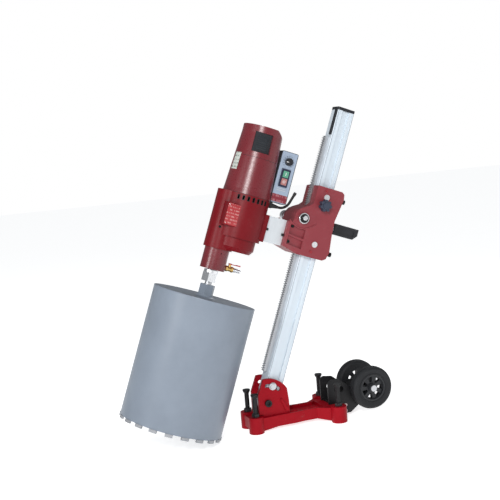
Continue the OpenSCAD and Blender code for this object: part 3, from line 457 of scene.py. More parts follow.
class Finish(Enum):
    """Every finish on the rig. The value is its recipe."""

    BASE_RED = Enamel("base_red", (0.30, 0.002, 0.009), 0.34, dust=0.03, gloss=0.12)
    MOTOR_RED = Enamel("motor_red", (0.150, 0.016, 0.022), 0.2, dust=0.06, gloss=0.5)
    CASE_RED = Enamel("case_red", (0.150, 0.003, 0.007), 0.3, dust=0.06, gloss=0.2)
    CARRIAGE_RED = Enamel("carriage_red", (0.230, 0.030, 0.040), 0.4, dust=0.4, gloss=0.4)
    BLACK_COAT = Enamel("black_coat", (0.006, 0.006, 0.007), 0.42, dust=0.05)
    BIT_PAINT = Enamel(
        "bit_paint", (0.205, 0.24, 0.29), 0.3, 0.0001, dust=0.04, chips=0.1
    )
    ZINC = Metal("zinc", (0.62, 0.63, 0.65), 0.34)
    STEEL = Metal("steel", (0.55, 0.56, 0.58), 0.32)
    BRIGHT = Metal("bright_steel", (0.80, 0.81, 0.83), 0.16, stain=0.05)
    ANODISED = Metal(
        "anodised", (0.66, 0.73, 0.79), 0.4, (1200.0, 1200.0, 6.0),
        stain=0.03, metallic=0.2,
    )
    SPACER = Metal("spacer_metal", (0.68, 0.72, 0.75), 0.36, metallic=0.4)
    PANEL = Metal("panel_face", (0.38, 0.46, 0.58), 0.45, metallic=0.35, stain=0.1)
    DIAMOND = Metal(
        "diamond_segment", (0.36, 0.37, 0.39), 0.55, (700.0, 700.0, 700.0), metallic=0.7
    )
    BRASS = Metal("brass", (0.72, 0.47, 0.16), 0.24, (300.0, 300.0, 300.0))
    TYRE = Moulding("tyre_rubber", (0.007, 0.008, 0.010), 0.62, 800.0, 0.0001, 0.04)
    RIM = Moulding("rim_plastic", (0.011, 0.012, 0.015), 0.4, scuffs=0.05)
    BLACK = Moulding("black_plastic", (0.010, 0.011, 0.015), 0.36, scuffs=0.05)
    # black moulding tinted blue: the blue tint is a painted sheen
    KNOB_AND_SHEEN = Moulding("knob_black_and_painted_sheen", (0.028, 0.036, 0.062), 0.3, scuffs=0.05)
    SWITCH = Moulding("switch_moulding", (0.012, 0.018, 0.05), 0.3)
    SHEATH = Moulding("lead_sheath", (0.014, 0.014, 0.014), 0.5, scuffs=0.05)
    SEAL = Moulding("seal_rubber", (0.02, 0.02, 0.02), 0.55)
    NYLON = Moulding("nylon", (0.78, 0.78, 0.72), 0.35)
    LEVER_RED = Moulding("lever_dip", (0.42, 0.015, 0.02), 0.25)
    GREEN = Moulding("start_green", (0.10, 0.33, 0.22), 0.3, scuffs=0.2)
    PALE_RED = Moulding("stop_red", (0.42, 0.18, 0.17), 0.3, scuffs=0.2)
    WINDINGS = Metal("windings", (0.45, 0.18, 0.07), 0.4)
    CARBON = Moulding("carbon", (0.03, 0.03, 0.03), 0.5)
    FOOT_NUTS = TwoTone("foot_nuts", (0.52, 0.42, 0.42), (0.012, 0.012, 0.014), 0.055)
    ARM_SCREWS = TwoTone(
        "arm_screws", (0.008, 0.008, 0.009), (0.30, 0.02, 0.03), -0.04, "X"
    )
    SMOKED = Moulding("smoked_window", (0.022, 0.030, 0.038), 0.3, scuffs=0.04)
    # dark grey strips on the column's faces: painted shadow in its grooves
    GROOVE_SHADOW = Moulding("groove_shadow", (0.20, 0.23, 0.26), 0.5, scuffs=0.0)
    WHITE_MARK = Moulding("white_mark", (0.8, 0.8, 0.8), 0.4)
    RATING = Print("rating_plate", (0.33, 0.02, 0.025), (0.62, 0.36, 0.34), 95.0, 0.5)
    SIDE_LABEL = Print("side_label", (0.52, 0.54, 0.50), (0.07, 0.11, 0.09), 80.0, 0.7)
    PANEL_BAND = Print("panel_band", (0.22, 0.015, 0.03), (0.55, 0.28, 0.30), 60.0)

    def material(self) -> bpy.types.Material:
        """The finish's material, made once.

        Returns:
            The material, which all its pieces share.
        """
        name = self.value.name
        if name not in MADE:
            MADE[name] = self.value.make()
        return MADE[name]


SLOT_FINISHES: dict[str, Finish] = {
    "base_red": Finish.BASE_RED,
    "motor_red": Finish.MOTOR_RED,
    "carriage_red": Finish.CARRIAGE_RED,
    "black_metal": Finish.BLACK_COAT,
    "zinc": Finish.ZINC,
    "steel": Finish.STEEL,
    "bright_steel": Finish.BRIGHT,
    "anodised": Finish.ANODISED,
    "spacer_metal": Finish.SPACER,
    "panel": Finish.PANEL,
    "bit_steel": Finish.BIT_PAINT,
    "diamond": Finish.DIAMOND,
    "tyre": Finish.TYRE,
    "rim": Finish.RIM,
    "black_plastic": Finish.BLACK,
    "switch_blue": Finish.SWITCH,
    "brass": Finish.BRASS,
    "lever_red": Finish.LEVER_RED,
    "green_button": Finish.GREEN,
    "red_button": Finish.PALE_RED,
    "windings": Finish.WINDINGS,
    "carbon": Finish.CARBON,
    "seal_rubber": Finish.SEAL,
    "lead_rubber": Finish.SHEATH,
    "nylon": Finish.NYLON,
}

NODE_FINISHES: dict[str, Finish] = {
    "base_fasteners": Finish.FOOT_NUTS,
    "carriage_fasteners": Finish.ARM_SCREWS,
    "gear_case": Finish.CASE_RED,
    "clamp_knob": Finish.KNOB_AND_SHEEN,
}


# --------------------------------------------------------------------- places
def joint(name: str) -> dict[str, Any]:
    """The record's joint of that name."""
    return next(j for j in frame["joints"] if j["name"] == name)


PIVOT = Vector(joint("column_tilt")["pos_m"])
UP = Vector(joint("carriage_feed")["axis"]).normalized()
LEAN = math.atan2(UP.x, UP.z)
BACK = Vector((UP.z, 0.0, -UP.x))


@dataclass(frozen=True)
class Bench:
    """A frame to work in: x across the column, y away, z up along it."""

    origin: Vector

    def at(self, x: float, y: float, z: float) -> Vector:
        """A point of the bench, given in millimetres, in the row frame."""
        return self.origin + (BACK * x + Vector((0, y, 0)) + UP * z) * MM

    def matrix(self, x: float, y: float, z: float) -> Matrix:
        """A placing at a bench point, with the bench's own axes."""
        turn = Matrix((BACK, Vector((0, 1, 0)), UP)).transposed().to_4x4()
        return Matrix.Translation(self.at(x, y, z)) @ turn


CRANK = Vector(joint("feed_crank_turn")["pos_m"])
COLUMN_BENCH = Bench(PIVOT)
CARRIAGE_BENCH = Bench(PIVOT + UP * (CRANK - PIVOT).dot(UP))
SPINDLE_X = (Vector(joint("spindle_spin")["pos_m"]) - PIVOT).dot(BACK) / MM
MOTOR_X = (Vector(joint("armature_spin")["pos_m"]) - PIVOT).dot(BACK) / MM
CRANK_X = (CRANK - PIVOT).dot(BACK) / MM


# ------------------------------------------------------------------- workshop
class Workshop:
    """Makes meshes, dresses them, and seats them on their CAD bodies."""

    def __init__(self) -> None:
        """Starts with no piece made."""
        self.made: list[bpy.types.Object] = []

    def finish(
        self,
        name: str,
        mesh: bmesh.types.BMesh,
        look: Finish,
        body: str,
        place: Matrix = Matrix.Identity(4),
        smooth: float = 40.0,
    ) -> bpy.types.Object:
        """Turns a bmesh into a piece of the rig.

        Args:
            name: The piece's name.
            mesh: The shape, in millimetres, in its own frame.
            look: The finish.
            body: The CAD body that it rides on.
            place: Where its own frame lies.
            smooth: Edges sharper than this many degrees stay sharp.

        Returns:
            The new object.
        """
        bmesh.ops.recalc_face_normals(mesh, faces=mesh.faces)
        data = bpy.data.meshes.new(name)
        mesh.to_mesh(data)
        mesh.free()
        data.transform(place @ Matrix.Scale(MM, 4))
        for polygon in data.polygons:
            polygon.use_smooth = True
        data.set_sharp_from_angle(angle=math.radians(smooth))
        data.materials.append(look.material())
        piece = bpy.data.objects.new(name, data)
        bpy.context.scene.collection.objects.link(piece)
        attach(piece, body)
        self.made.append(piece)
        return piece

    def lathe(self, profile: Sequence[Point2], steps: int = 48) -> bmesh.types.BMesh:
        """Turns a profile of radius and height about z.

        Args:
            profile: Points of the closed section, radius first.
            steps: How many steps there are round the axis.

        Returns:
            The turned shape.
        """
        mesh = bmesh.new()
        rings = []
        for k in range(steps):
            a = math.tau * k / steps
            rings.append(
                [mesh.verts.new((r * math.cos(a), r * math.sin(a), h)) for r, h in profile]
            )
        for k in range(steps):
            one, two = rings[k], rings[(k + 1) % steps]
            for i in range(len(profile)):
                j = (i + 1) % len(profile)
                mesh.faces.new((one[i], two[i], two[j], one[j]))
        bmesh.ops.remove_doubles(mesh, verts=mesh.verts, dist=1e-5)
        return mesh

    def slab(
        self, outline: Sequence[Point2], depth: float, bevel: float = 0.0
    ) -> bmesh.types.BMesh:
        """Extrudes an outline in x and z towards -y.

        Args:
            outline: Corners of the outline.
            depth: The thickness.
            bevel: The width of the rounding along its front edge.

        Returns:
            The solid plate.
        """
        mesh = bmesh.new()
        face = mesh.faces.new([mesh.verts.new((x, 0.0, z)) for x, z in outline])
        made = bmesh.ops.extrude_face_region(mesh, geom=[face])["geom"]
        front = [v for v in made if isinstance(v, bmesh.types.BMVert)]
        bmesh.ops.translate(mesh, verts=front, vec=(0.0, -depth, 0.0))
        if bevel:
            edges = [e for e in mesh.edges if all(v in front for v in e.verts)]
            bmesh.ops.bevel(
                mesh, geom=edges, offset=bevel, segments=3, profile=0.5, affect="EDGES"
            )
        return mesh

    def tube(
        self, path: Sequence[Vector], radius: float, sides: int = 12
    ) -> bmesh.types.BMesh:
        """Sweeps a round section along a path, with closed ends.

        Args:
            path: The points of the centre line.
            radius: The section's radius, in the path's own unit.
            sides: How many sides the section has.

        Returns:
            The swept shape.
        """
        mesh = bmesh.new()
        rings = []
        for k, here in enumerate(path):
            ahead = path[min(k + 1, len(path) - 1)] - path[max(k - 1, 0)]
            along = ahead.normalized()
            side = along.cross(Vector((0, 1, 0))).normalized()
            top = side.cross(along)
            rings.append([
                mesh.verts.new(
                    here
                    + side * radius * math.cos(math.tau * s / sides)
                    + top * radius * math.sin(math.tau * s / sides)
                )
                for s in range(sides)
            ])
        for one, two in zip(rings, rings[1:]):
            for s in range(sides):
                t = (s + 1) % sides
                mesh.faces.new((one[s], one[t], two[t], two[s]))
        mesh.faces.new(rings[0])
        mesh.faces.new(rings[-1])
        return mesh

    def bridge(
        self, rings: Sequence[tuple[Sequence[Point2], float]], closed: bool = False
    ) -> bmesh.types.BMesh:
        """Joins outlines of the same number of corners into one skin.

        Args:
            rings: Each outline, with where it lies across its own plane.
            closed: Whether the last outline joins the first.

        Returns:
            The skin, with the outlines in its second and third axes.
        """
        mesh = bmesh.new()
        made = [
            [mesh.verts.new((depth, a, b)) for a, b in outline]
            for outline, depth in rings
        ]
        after = made[1:] + (made[:1] if closed else [])
        for one, two in zip(made, after):
            for i in range(len(one)):
                j = (i + 1) % len(one)
                mesh.faces.new((one[i], one[j], two[j], two[i]))
        return mesh

    def join(self, meshes: Sequence[bmesh.types.BMesh]) -> bmesh.types.BMesh:
        """Puts several shapes into one.

        Args:
            meshes: The shapes, which are used up.

        Returns:
            The one shape.
        """
        whole = bmesh.new()
        for mesh in meshes:
            data = bpy.data.meshes.new("part")
            mesh.to_mesh(data)
            mesh.free()
            whole.from_mesh(data)
            bpy.data.meshes.remove(data)
        return whole

    def screw(self, radius: float, height: float) -> bmesh.types.BMesh:
        """A socket head standing on z = 0, with a rounded rim and a round socket.

        Args:
            radius: The head's radius.
            height: The head's height.

        Returns:
            The head.
        """
        shares = (
            (0.0, 0.0), (1.0, 0.0), (1.0, 0.75), (0.9, 1.0), (0.62, 1.0),
            (0.55, 0.92), (0.52, 0.35), (0.0, 0.3),
        )
        return self.lathe([(radius * a, height * b) for a, b in shares], 24)


SHOP = Workshop()


def rounded(width: float, height: float, corner: float) -> list[Point2]:
    """The outline of a rectangle with round corners, about its middle.

    Args:
        width: Its size across.
        height: Its size up.
        corner: The radius of its corners.

    Returns:
        The outline's points.
    """
    points = []
    for k, (sx, sz) in enumerate(((1, 1), (-1, 1), (-1, -1), (1, -1))):
        for step in range(5):
            a = math.radians(90 * k + 22.5 * step)
            points.append((
                sx * (width / 2 - corner) + corner * math.cos(a),
                sz * (height / 2 - corner) + corner * math.sin(a),
            ))
    return points


def facing_near(bench: Bench, x: float, y: float, z: float) -> Matrix:
    """A placing whose z axis points towards the near side."""
    return bench.matrix(x, y, z) @ Matrix.Rotation(math.pi / 2, 4, "X")


# --------------------------------------------------------------- sub-assemblies
@dataclass
class MainsLead:
    """The short stiff lead under the control box, with its moulded end."""

    route: tuple[Point2, ...] = (
        (-150, 15), (-140, 15), (-129, 15), (-119.7, 16.2), (-111, 19.8),
        (-103.5, 25.5), (-97.8, 33), (-94.7, 40), (-91.6, 49.5), (-88.5, 59),
        (-85.4, 68.5),
    )
    side: float = 5.0
    radius: float = 4.5
    relief_at: Point2 = (-150.5, 15.0)

    def points(self) -> list[Vector]:
        """The route, smoothed between its own points.

        Returns:
            The points of the centre line, in the row frame.
        """
        raw = [Vector((x, self.side, z)) for x, z in self.route]
        smooth = []
        for k in range(len(raw) - 1):
            p0, p1 = raw[max(k - 1, 0)], raw[k]
            p2, p3 = raw[k + 1], raw[min(k + 2, len(raw) - 1)]
            for step in range(4):
                t = step / 4
                smooth.append(0.5 * (
                    2 * p1 + (p2 - p0) * t + (2 * p0 - 5 * p1 + 4 * p2 - p3) * t * t
                    + (3 * p1 - p0 - 3 * p2 + p3) * t ** 3
                ))
        smooth.append(raw[-1])
        return [CARRIAGE_BENCH.at(*p) for p in smooth]

    def build(self) -> None:
        """Makes the sheath and the tapered strain relief."""
        path = self.points()
        mesh = SHOP.tube([p / MM for p in path], self.radius, 16)
        sheath = SHOP.finish(
            "lead_sheath", mesh, Finish.SHEATH, "carriage"
        )
        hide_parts("mains_lead")
        length = sum((b - a).length for a, b in zip(path, path[1:]))
        2 * self.radius * MM
        taper = SHOP.lathe([
            (self.radius, 0), (7.6, 0), (7.2, 4), (6.6, 4.5), (6.8, 8), (6.0, 8.5),
            (6.2, 12), (5.4, 12.5), (5.4, 16), (self.radius + 0.1, 18),
        ], 32)
        x, z = self.relief_at
        place = CARRIAGE_BENCH.matrix(x, self.side, z) @ Matrix.Rotation(
            math.pi / 2, 4, "Y"
        )
        SHOP.finish(
            "strain_relief", taper, Finish.SEAL, "carriage", place
        )


@dataclass
class DrillMotor:
    """Plates, seams and screws on the motor and its gear case."""

    case_r: float = 82.0
    motor_r: float = 81.0
    case_top: float = 24.0
    cover_z: float = 150.0
    cone: float = 12.0 / 207.0
    plate_face: float = -74.0
    plate: Point2 = (66.0, 70.0)
    plate_at: Point2 = (7.0, -52.0)
    label_z: Point2 = (98.0, 156.0)
    label_turn: Point2 = (182.0, 206.0)
    case_screw: Point3 = (-26.0, -42.1, -100.0)
    window: Point2 = (58.0, 64.0)
    window_at: Point3 = (-14.0, 57.2, 201.0)
    slot: Point2 = (5.6, 13.6)
    slot_z: float = 11.0
    slot_count: int = 7
    slot_pitch: float = 12.0
    bolt_y: float = -41.0
    bolts: tuple[Point3, ...] = ((-170.9, -67.0, 1.0), (-103.0, -72.0, -1.0))

    def radius(self, z: float) -> float:
        """The motor case's radius at a height."""
        return self.motor_r - self.cone * (z - self.case_top)

    def build(self) -> None:
        """Makes every piece on the motor."""
        self.rating_plate()
        self.side_label()
        self.seams()
        self.screws()
        self.windows()
        self.slot_lip_shades()
        self.clamp_bolts()

    def rating_plate(self) -> None:
        """The rating plate on the raised field, held by four rivets."""
        thick = 0.8
        x, z = SPINDLE_X + self.plate_at[0], self.plate_at[1]
        mesh = SHOP.slab(rounded(*self.plate, 3), thick, 0.3)
        SHOP.finish(
            "rating_plate", mesh, Finish.RATING, "carriage",
            CARRIAGE_BENCH.matrix(x, self.plate_face, z), 30,
        )
        heads = []
        for sx in (-1, 1):
            for sz in (-1, 1):
                rivet = SHOP.lathe([(0, 0), (2, 0), (1.8, 0.6), (1, 1.1), (0, 1.2)], 16)
                across, up = self.plate[0] / 2 - 4, self.plate[1] / 2 - 4
                bmesh.ops.translate(
                    rivet, verts=rivet.verts, vec=(sx * across, sz * up, 0)
                )
                heads.append(rivet)
        SHOP.finish(
            "rating_plate_rivets", SHOP.join(heads), Finish.BRIGHT, "carriage",
            facing_near(CARRIAGE_BENCH, x, self.plate_face - thick, z),
        )

    def side_label(self) -> None:
        """The pale label that wraps the front of the motor case."""
        rows, columns, lift = 8, 9, 0.35
        (low, high), (start, stop) = self.label_z, self.label_turn
        mesh = bmesh.new()
        grid = []
        for i in range(rows + 1):
            z = low + (high - low) * i / rows
            r = self.radius(z) + lift
            row = []
            for k in range(columns + 1):
                a = math.radians(start + (stop - start) * k / columns)
                row.append(mesh.verts.new((r * math.cos(a), r * math.sin(a), z)))
            grid.append(row)
        for one, two in zip(grid, grid[1:]):
            for k in range(columns):
                mesh.faces.new((one[k], one[k + 1], two[k + 1], two[k]))
        SHOP.finish(
            "side_label", mesh, Finish.SIDE_LABEL, "carriage",
            CARRIAGE_BENCH.matrix(MOTOR_X, 0, 0),
        )

    def seams(self) -> None:
        """Dark parting lines between the case, the motor and its cover."""
        seams = (
            (self.case_top, self.case_r), (self.cover_z, self.radius(self.cover_z) - 0.2),
        )
        rings = [
            SHOP.lathe([
                (r - 1, z - 0.7), (r + 0.25, z - 0.5),
                (r + 0.25, z + 0.5), (r - 1, z + 0.7),
            ], 96)
            for z, r in seams
        ]
        SHOP.finish(
            "motor_seams", SHOP.join(rings), Finish.BLACK_COAT, "carriage",
            CARRIAGE_BENCH.matrix(MOTOR_X, 0, 0),
        )

    def screws(self) -> None:
        """The socket head on the near side of the gear case."""
        x, y, z = self.case_screw
        SHOP.finish(
            "case_screw_1", SHOP.screw(4.2, 3.6), Finish.BLACK_COAT, "carriage",
            facing_near(CARRIAGE_BENCH, SPINDLE_X + x, y, z),
        )

    def windows(self) -> None:
        """The smoked pane on each side of the cover."""
        x, y, z = self.window_at
        for side, name in ((-1, "near"), (1, "far")):
            place = CARRIAGE_BENCH.matrix(MOTOR_X + x, side * y, z)
            if side > 0:
                place = place @ Matrix.Rotation(math.pi, 4, "Z")
            pane = SHOP.slab(rounded(*self.window, 4), 1.6, 0.6)
            SHOP.finish(
                f"{name}_window", pane, Finish.SMOKED, "carriage", place
            )

    def slot_lip_shades(self) -> None:
        """A black lip round and inside each cooling slot, which paints the shade in the slots."""
        width, height = self.slot
        inner = rounded(width, height, 0.8)
        outer = rounded(width + 3.2, height + 3.0, 1.2)
        out = Matrix.Translation((self.case_r + 0.2, 0, self.slot_z))
        lips = []
        for side in (-1, 1):
            for k in range(self.slot_count):
                turn = (k - self.slot_count // 2) * self.slot_pitch
                a = math.radians(side * (90 + turn))
                # black lining 5 mm into each slot: painted shade in the slot
                lip = SHOP.bridge(
                    [(outer, -0.6), (outer, 0.5), (inner, 0.5), (inner, -5.0)]
                )
                lip.transform(Matrix.Rotation(a, 4, "Z") @ out)
                lips.append(lip)
        SHOP.finish(
            "slot_lip_shades", SHOP.join(lips), Finish.BLACK_COAT, "carriage",
            CARRIAGE_BENCH.matrix(MOTOR_X, 0, 0),
        )

    def clamp_bolts(self) -> None:
        """Two small bolts beside the spacer, one at each of its ends."""
        for k, (x, z, turn) in enumerate(self.bolts):
            place = CARRIAGE_BENCH.matrix(x, self.bolt_y, z) @ Matrix.Rotation(
                turn * math.pi / 2, 4, "Y"
            )
            SHOP.finish(
                f"clamp_bolt_{k + 1}", SHOP.screw(4.4, 8.0), Finish.BLACK_COAT,
                "carriage", place,
            )


@dataclass
class ControlBox:
    """Marks and trim on the control panel."""

    left: float = -172.5
    width: float = 60.0
    low: float = 27.0
    height: float = 178.0
    face: float = -12.0
    band_height: float = 26.0
    band_up: float = 17.0
    lines_up: Point2 = (45.0, 51.0)
    dial_up: float = 144.0
    dial_depth: float = 12.9
    pointer_turn: float = -100.0
    switch_up: float = 88.0
    button_up: float = 13.0
    button_depth: float = 7.0

    def build(self) -> None:
        """Makes the border, the band, the printed lines and every mark."""
        middle_x = self.left + self.width / 2
        middle_z = self.low + self.height / 2
        self.border(middle_x, middle_z)
        band = SHOP.slab(rounded(self.width - 4, self.band_height, 2), 0.5)
        SHOP.finish(
            "panel_band", band, Finish.PANEL_BAND, "carriage",
            CARRIAGE_BENCH.matrix(middle_x, self.face, self.low + self.band_up),
        )
        for k, z in enumerate(self.lines_up):
            line = SHOP.slab(rounded(34, 2.2, 1), 0.3)
            SHOP.finish(
                f"panel_line_{k + 1}", line, Finish.ZINC, "carriage",
                CARRIAGE_BENCH.matrix(middle_x, self.face, self.low + z),
            )
        self.dial(middle_x)
        self.marks(middle_x)

    def border(self, x: float, z: float) -> None:
        """The dark edge that frames the silver panel.

        Args:
            x: The panel's middle, across.
            z: The panel's middle, up.
        """
        outer = rounded(self.width, self.height, 5)
        inner = rounded(self.width - 3, self.height - 3, 4)
        mesh = SHOP.bridge([(outer, 0.0), (outer, 0.8), (inner, 0.8), (inner, 0.0)], True)
        facing = Matrix.Rotation(-math.pi / 2, 4, "Z")
        SHOP.finish(
            "panel_border", mesh, Finish.BLACK, "carriage",
            CARRIAGE_BENCH.matrix(x, self.face, z) @ facing,
        )

    def dial(self, x: float) -> None:
        """Scale marks round the dial, and its white pointer.

        Args:
            x: The panel's middle, across.
        """
        z = self.low + self.dial_up
        ticks = []
        for k in range(11):
            tick = SHOP.slab([(-0.5, 17), (0.5, 17), (0.5, 21), (-0.5, 21)], 0.3)
            turn = Matrix.Rotation(math.radians(27 * k - 135), 3, "Y")
            bmesh.ops.rotate(tick, verts=tick.verts, cent=(0, 0, 0), matrix=turn)
            ticks.append(tick)
        SHOP.finish(
            "dial_marks", SHOP.join(ticks), Finish.BLACK, "carriage",
            CARRIAGE_BENCH.matrix(x, self.face, z),
        )
        pointer = SHOP.slab(rounded(2.2, 9, 1), 0.4)
        turn = Matrix.Rotation(math.radians(self.pointer_turn), 4, "Y")
        SHOP.finish(
            "dial_pointer", pointer, Finish.WHITE_MARK, "dial",
            CARRIAGE_BENCH.matrix(x, self.face - self.dial_depth, z) @ turn
            @ Matrix.Translation((0, 0, 7.5 * MM)),
        )

    def marks(self, x: float) -> None:
        """A bar on the start button and a ring on the stop button.

        Args:
            x: The panel's middle, across.
        """
        y, z = self.face - self.button_depth, self.low + self.switch_up
        bar = SHOP.slab(rounded(2, 10, 0.9), 0.4)
        SHOP.finish(
            "start_mark", bar, Finish.WHITE_MARK, "start",
            CARRIAGE_BENCH.matrix(x, y, z + self.button_up),
        )
        ring = SHOP.lathe([(3.2, 0), (4.6, 0), (4.6, 0.4), (3.2, 0.4)], 32)
        SHOP.finish(
            "stop_mark", ring, Finish.WHITE_MARK, "stop",
            facing_near(CARRIAGE_BENCH, x, y, z - self.button_up),
        )


@dataclass
class Carriage:
    """Cast beads, screw heads and the shaft's end on the carriage."""

    face: float = -51.0
    bead_radius: float = 2.6
    screw_lift: float = 9.2
    arm_screws: tuple[Point2, ...] = ((-81.0, -35.0), (-83.0, -88.0))

    def build(self) -> None:
        """Makes the pieces on the carriage's sides."""
        self.ribs()
        self.clamp_screws()
        self.pinion_end()

    def ribs(self) -> None:
        """The curved cast bead under the shaft's boss, on both sides."""
        steps, left, reach = 16, CRANK_X - 44, 96
        path = [
            (left + reach * t, -16 - 22 * math.sin(math.pi * t) + 6 * t)
            for t in (k / steps for k in range(steps + 1))
        ]
        meshes = [
            SHOP.tube([Vector((x, side, z)) for x, z in path], self.bead_radius, 10)
            for side in (self.face, -self.face)
        ]
        SHOP.finish(
            "boss_beads", SHOP.join(meshes), Finish.CARRIAGE_RED, "carriage",
            CARRIAGE_BENCH.matrix(0, 0, 0),
        )

    def pinion_end(self) -> None:
        """A black disc of painted shade standing for the recess, the bright ring and the hexagon on the shaft's
        near end.
        """
        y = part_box("feed_shaft")[0].y / MM
        place = facing_near(CARRIAGE_BENCH, CRANK_X, y, 0)
        ring = SHOP.lathe([
            (15.0, -0.5), (18.4, -0.5), (18.4, 1.0),
            (17.6, 1.8), (15.6, 1.8), (15.0, 1.0),
        ])
        SHOP.finish(
            "pinion_ring", ring, Finish.BRIGHT, "feed_crank", place
        )
        # a flat black disc: painted shade where the shaft's end has its recess
        recess_shade_disc = SHOP.lathe([(0, -0.3), (15.2, -0.3), (15.2, 0.5), (0, 0.5)])
        SHOP.finish(
            "pinion_recess_shade", recess_shade_disc, Finish.BLACK_COAT, "feed_crank", place
        )
        head = SHOP.lathe([
            (0, 0.2), (9.0, 0.2), (9.0, 5.2), (8.0, 6.0),
            (2.2, 6.0), (1.8, 5.0), (0, 5.0),
        ], 6)
        SHOP.finish(
            "pinion_hexagon", head, Finish.BRIGHT, "feed_crank",
            place @ Matrix.Translation((2.5 * MM, 2.0 * MM, 0)), 20,
        )

    def clamp_screws(self) -> None:
        """Two socket heads in the arm, on the near side."""
        y = self.face + self.screw_lift
        for k, (x, z) in enumerate(self.arm_screws):
            SHOP.finish(
                f"arm_screw_{k + 1}", SHOP.screw(5.2, 4.0), Finish.BLACK_COAT,
                "carriage", facing_near(CARRIAGE_BENCH, x, y, z),
            )


@dataclass
class CoreBit:
    """The weld bead and the hub's fillet on the core bit."""

    radius: float = 173.0
    top: float = -338.0
    hub: float = 26.8

    def build(self) -> None:
        """Makes the weld bead round the top plate and the hub's fillet."""
        r, z = self.radius, self.top
        bead = SHOP.lathe([
            (r - 3.2, z - 0.1), (r - 0.6, z - 2.6), (r + 0.3, z - 2.0),
            (r - 0.2, z + 0.5), (r - 2.2, z + 0.9),
        ], 128)
        fillet = SHOP.lathe([
            (self.hub, z + 8.05), (self.hub, z), (34, z), (31, z + 1.6), (28.4, z + 4),
        ])
        SHOP.finish(
            "bit_weld", SHOP.join([bead, fillet]), Finish.BIT_PAINT, "spindle_and_bit",
            CARRIAGE_BENCH.matrix(SPINDLE_X, 0, 0),
        )


@dataclass
class Column:
    """The strip above the rack, and dark lines of painted groove shadow down both sides."""

    front: float = -21.0
    side: float = 27.0
    lines: tuple[Point2, ...] = ((2.6, 1.4), (59.6, 1.2))
    lines_z: Point2 = (36.0, 1028.0)
    strip_y: Point2 = (8.0, 25.0)
    strip_z: Point2 = (941.0, 1029.0)

    def build(self) -> None:
        """Makes the strip above the rack and the painted groove shadow lines on both sides."""
        self.strip()
        low, high = self.lines_z
        # dark grey strips down both faces paint the shadow of the column's grooves
        lines = []
        for side in (-1, 1):
            for back, width in self.lines:
                x = self.front + back
                line = SHOP.slab(
                    [(x, low), (x + width, low), (x + width, high), (x, high)], 0.35
                )
                if side > 0:
                    bmesh.ops.scale(line, verts=line.verts, vec=(1, -1, 1))
                bmesh.ops.translate(line, verts=line.verts, vec=(0, side * self.side, 0))
                lines.append(line)
        SHOP.finish(
            "column_groove_shadows", SHOP.join(lines), Finish.GROOVE_SHADOW, "column",
            COLUMN_BENCH.matrix(0, 0, 0),
        )

    def strip(self) -> None:
        """The black strip between the rack's end and the cap."""
        (one, two), (low, high) = self.strip_y, self.strip_z
        mesh = SHOP.slab([(one, low), (two, low), (two, high), (one, high)], 4.0, 0.8)
        turn = Matrix.Rotation(-math.pi / 2, 4, "Z")
        SHOP.finish(
            "rack_strip", mesh, Finish.BLACK, "column",
            COLUMN_BENCH.matrix(self.front, 0, 0) @ turn,
        )


@dataclass
class Wheels:
    """Sidewall rings on both tyres."""

    radius: float = 75.0
    inner: float = 40.0
    width: float = 38.0
    insets: Point2 = (12.0, 25.0)

    def build(self) -> None:
        """Makes the rings on each wheel's outer side."""
        for side, name in ((-1, "near"), (1, "far")):
            spin = Vector(joint(f"{name}_wheel_spin")["pos_m"])
            face = self.inner + self.width - 1.6
            rings = [
                SHOP.lathe([
                    (r - 1.4, face - 1), (r - 1, face + 1),
                    (r + 1, face + 1), (r + 1.4, face - 1),
                ], 64)
                for r in (self.radius - inset for inset in self.insets)
            ]
            place = Matrix.Translation(Vector((spin.x, 0, spin.z))) @ Matrix.Rotation(
                side * -math.pi / 2, 4, "X"
            )
            SHOP.finish(
                f"{name}_tyre_rings", SHOP.join(rings), Finish.TYRE, f"{name}_wheel",
                place,
            )


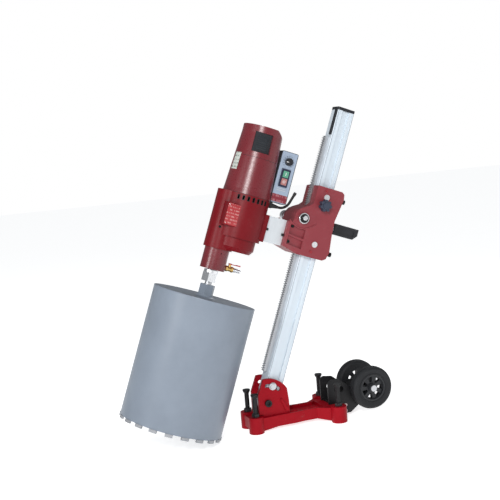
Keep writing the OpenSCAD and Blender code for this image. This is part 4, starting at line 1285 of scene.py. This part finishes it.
@dataclass
class Studio:
    """The camera, the floor and the soft lights."""

    eye: Point3 = (-1.0965, -3.158, 1.037)
    heading: float = 19.4
    dip: float = 7.1
    roll: float = -4.5
    lens: float = 72.0
    lamps: tuple[tuple[str, Point3, float, float], ...] = (
        ("key", (-1.5, -3.2, 2.2), 0.8, 84.0),
        ("strip", (-2.8, -1.2, 1.6), 0.7, 30.0),
        ("rim", (2.6, 1.6, 1.8), 1.2, 26.0),
    )

    def camera(self) -> None:
        """Sets the camera at the rig's viewing angle."""
        th, ph, ro = (math.radians(a) for a in (self.heading, self.dip, self.roll))
        ahead = Vector((
            math.sin(th) * math.cos(ph), math.cos(th) * math.cos(ph), -math.sin(ph)
        ))
        right = Vector((math.cos(th), -math.sin(th), 0.0))
        up = right.cross(ahead)
        across = right * math.cos(ro) + up * math.sin(ro)
        top = up * math.cos(ro) - right * math.sin(ro)
        data = bpy.data.cameras.new("camera")
        data.lens = self.lens
        data.sensor_width = 36.0
        data.clip_end = 60.0
        camera = bpy.data.objects.new("camera", data)
        bpy.context.scene.collection.objects.link(camera)
        turn = Matrix((across, top, -ahead)).transposed().to_4x4()
        camera.matrix_world = Matrix.Translation(Vector(self.eye)) @ turn
        bpy.context.scene.camera = camera

    def floor(self) -> None:
        """A wide pale floor."""
        mesh = bmesh.new()
        bmesh.ops.create_grid(mesh, x_segments=1, y_segments=1, size=12.0)
        data = bpy.data.meshes.new("floor")
        mesh.to_mesh(data)
        mesh.free()
        g = Surface("floor_paint")
        tint = g.noise(g.place(), 1.5, 2.0)
        g.set(
            Base_Color=g.mix(tint, (0.87, 0.87, 0.87), (0.9, 0.9, 0.9)),
            Roughness=0.6,
            Specular_IOR_Level=0.1,
            Emission_Color=(1.0, 1.0, 1.0),
            Emission_Strength=0.74,
        )
        data.materials.append(g.material)
        floor = bpy.data.objects.new("floor", data)
        bpy.context.scene.collection.objects.link(floor)
        floor.location.z = -0.0005

    def light(self, name: str, place: Point3, size: float, power: float) -> None:
        """One soft square light that faces the middle of the rig.

        Args:
            name: The light's name.
            place: Where it stands, in metres.
            size: The side of its square.
            power: Its power, in watts.
        """
        data = bpy.data.lights.new(name, "AREA")
        data.size = size
        data.energy = power
        lamp = bpy.data.objects.new(name, data)
        bpy.context.scene.collection.objects.link(lamp)
        lamp.location = place
        aim = Vector((0.0, 0.0, 0.5)) - Vector(place)
        lamp.rotation_euler = aim.to_track_quat("-Z", "Y").to_euler()

    def sky(self) -> None:
        """A white room to look at that lights the rig only softly."""
        world = bpy.data.worlds.new("studio")
        g = Graph(world)
        soft, seen = (
            g.add("ShaderNodeBackground", {}, {"Color": colour, "Strength": strength})
            for colour, strength in (((0.92, 0.96, 1.0), 0.26), ((1.0, 1.0, 1.0), 1.0))
        )
        direct = g.add("ShaderNodeLightPath", {}, {}, "Is Camera Ray")
        both = g.add("ShaderNodeMixShader", {}, {0: direct, 1: soft, 2: seen})
        g.end("ShaderNodeOutputWorld", both)
        bpy.context.scene.world = world

    def build(self) -> None:
        """Sets the floor, the lights and the world, after the camera."""
        self.floor()
        for lamp in self.lamps:
            self.light(*lamp)
        self.sky()
        bpy.context.scene.view_settings.view_transform = "Standard"


def dress_frame() -> None:
    """Gives every CAD node the finish of its material slot."""
    slots = {s["node"]: s["material_slot"] for s in frame["record"]["subparts"]}
    for name, node in frame["nodes"].items():
        look = NODE_FINISHES.get(name, SLOT_FINISHES[slots[name]]).material()
        for holder in node.material_slots:
            holder.material = look


def main() -> None:
    """Builds the looks in order and reports each piece."""
    logging.basicConfig(level=logging.INFO, format="%(name)s: %(message)s")
    studio = Studio()
    studio.camera()
    steps: list[tuple[str, Callable[[], None]]] = [
        ("mains lead", MainsLead().build),
        ("finishes on the CAD parts", dress_frame),
        ("drill motor", DrillMotor().build),
        ("control box", ControlBox().build),
        ("carriage", Carriage().build),
        ("core bit", CoreBit().build),
        ("column", Column().build),
        ("wheels", Wheels().build),
        ("studio", studio.build),
    ]
    for name, step in steps:
        before = len(SHOP.made)
        step()
        LOG.info("made the %s", name)
        for piece in SHOP.made[before:]:
            LOG.info("  %s", piece.name)


if __name__ == "__main__":
    main()
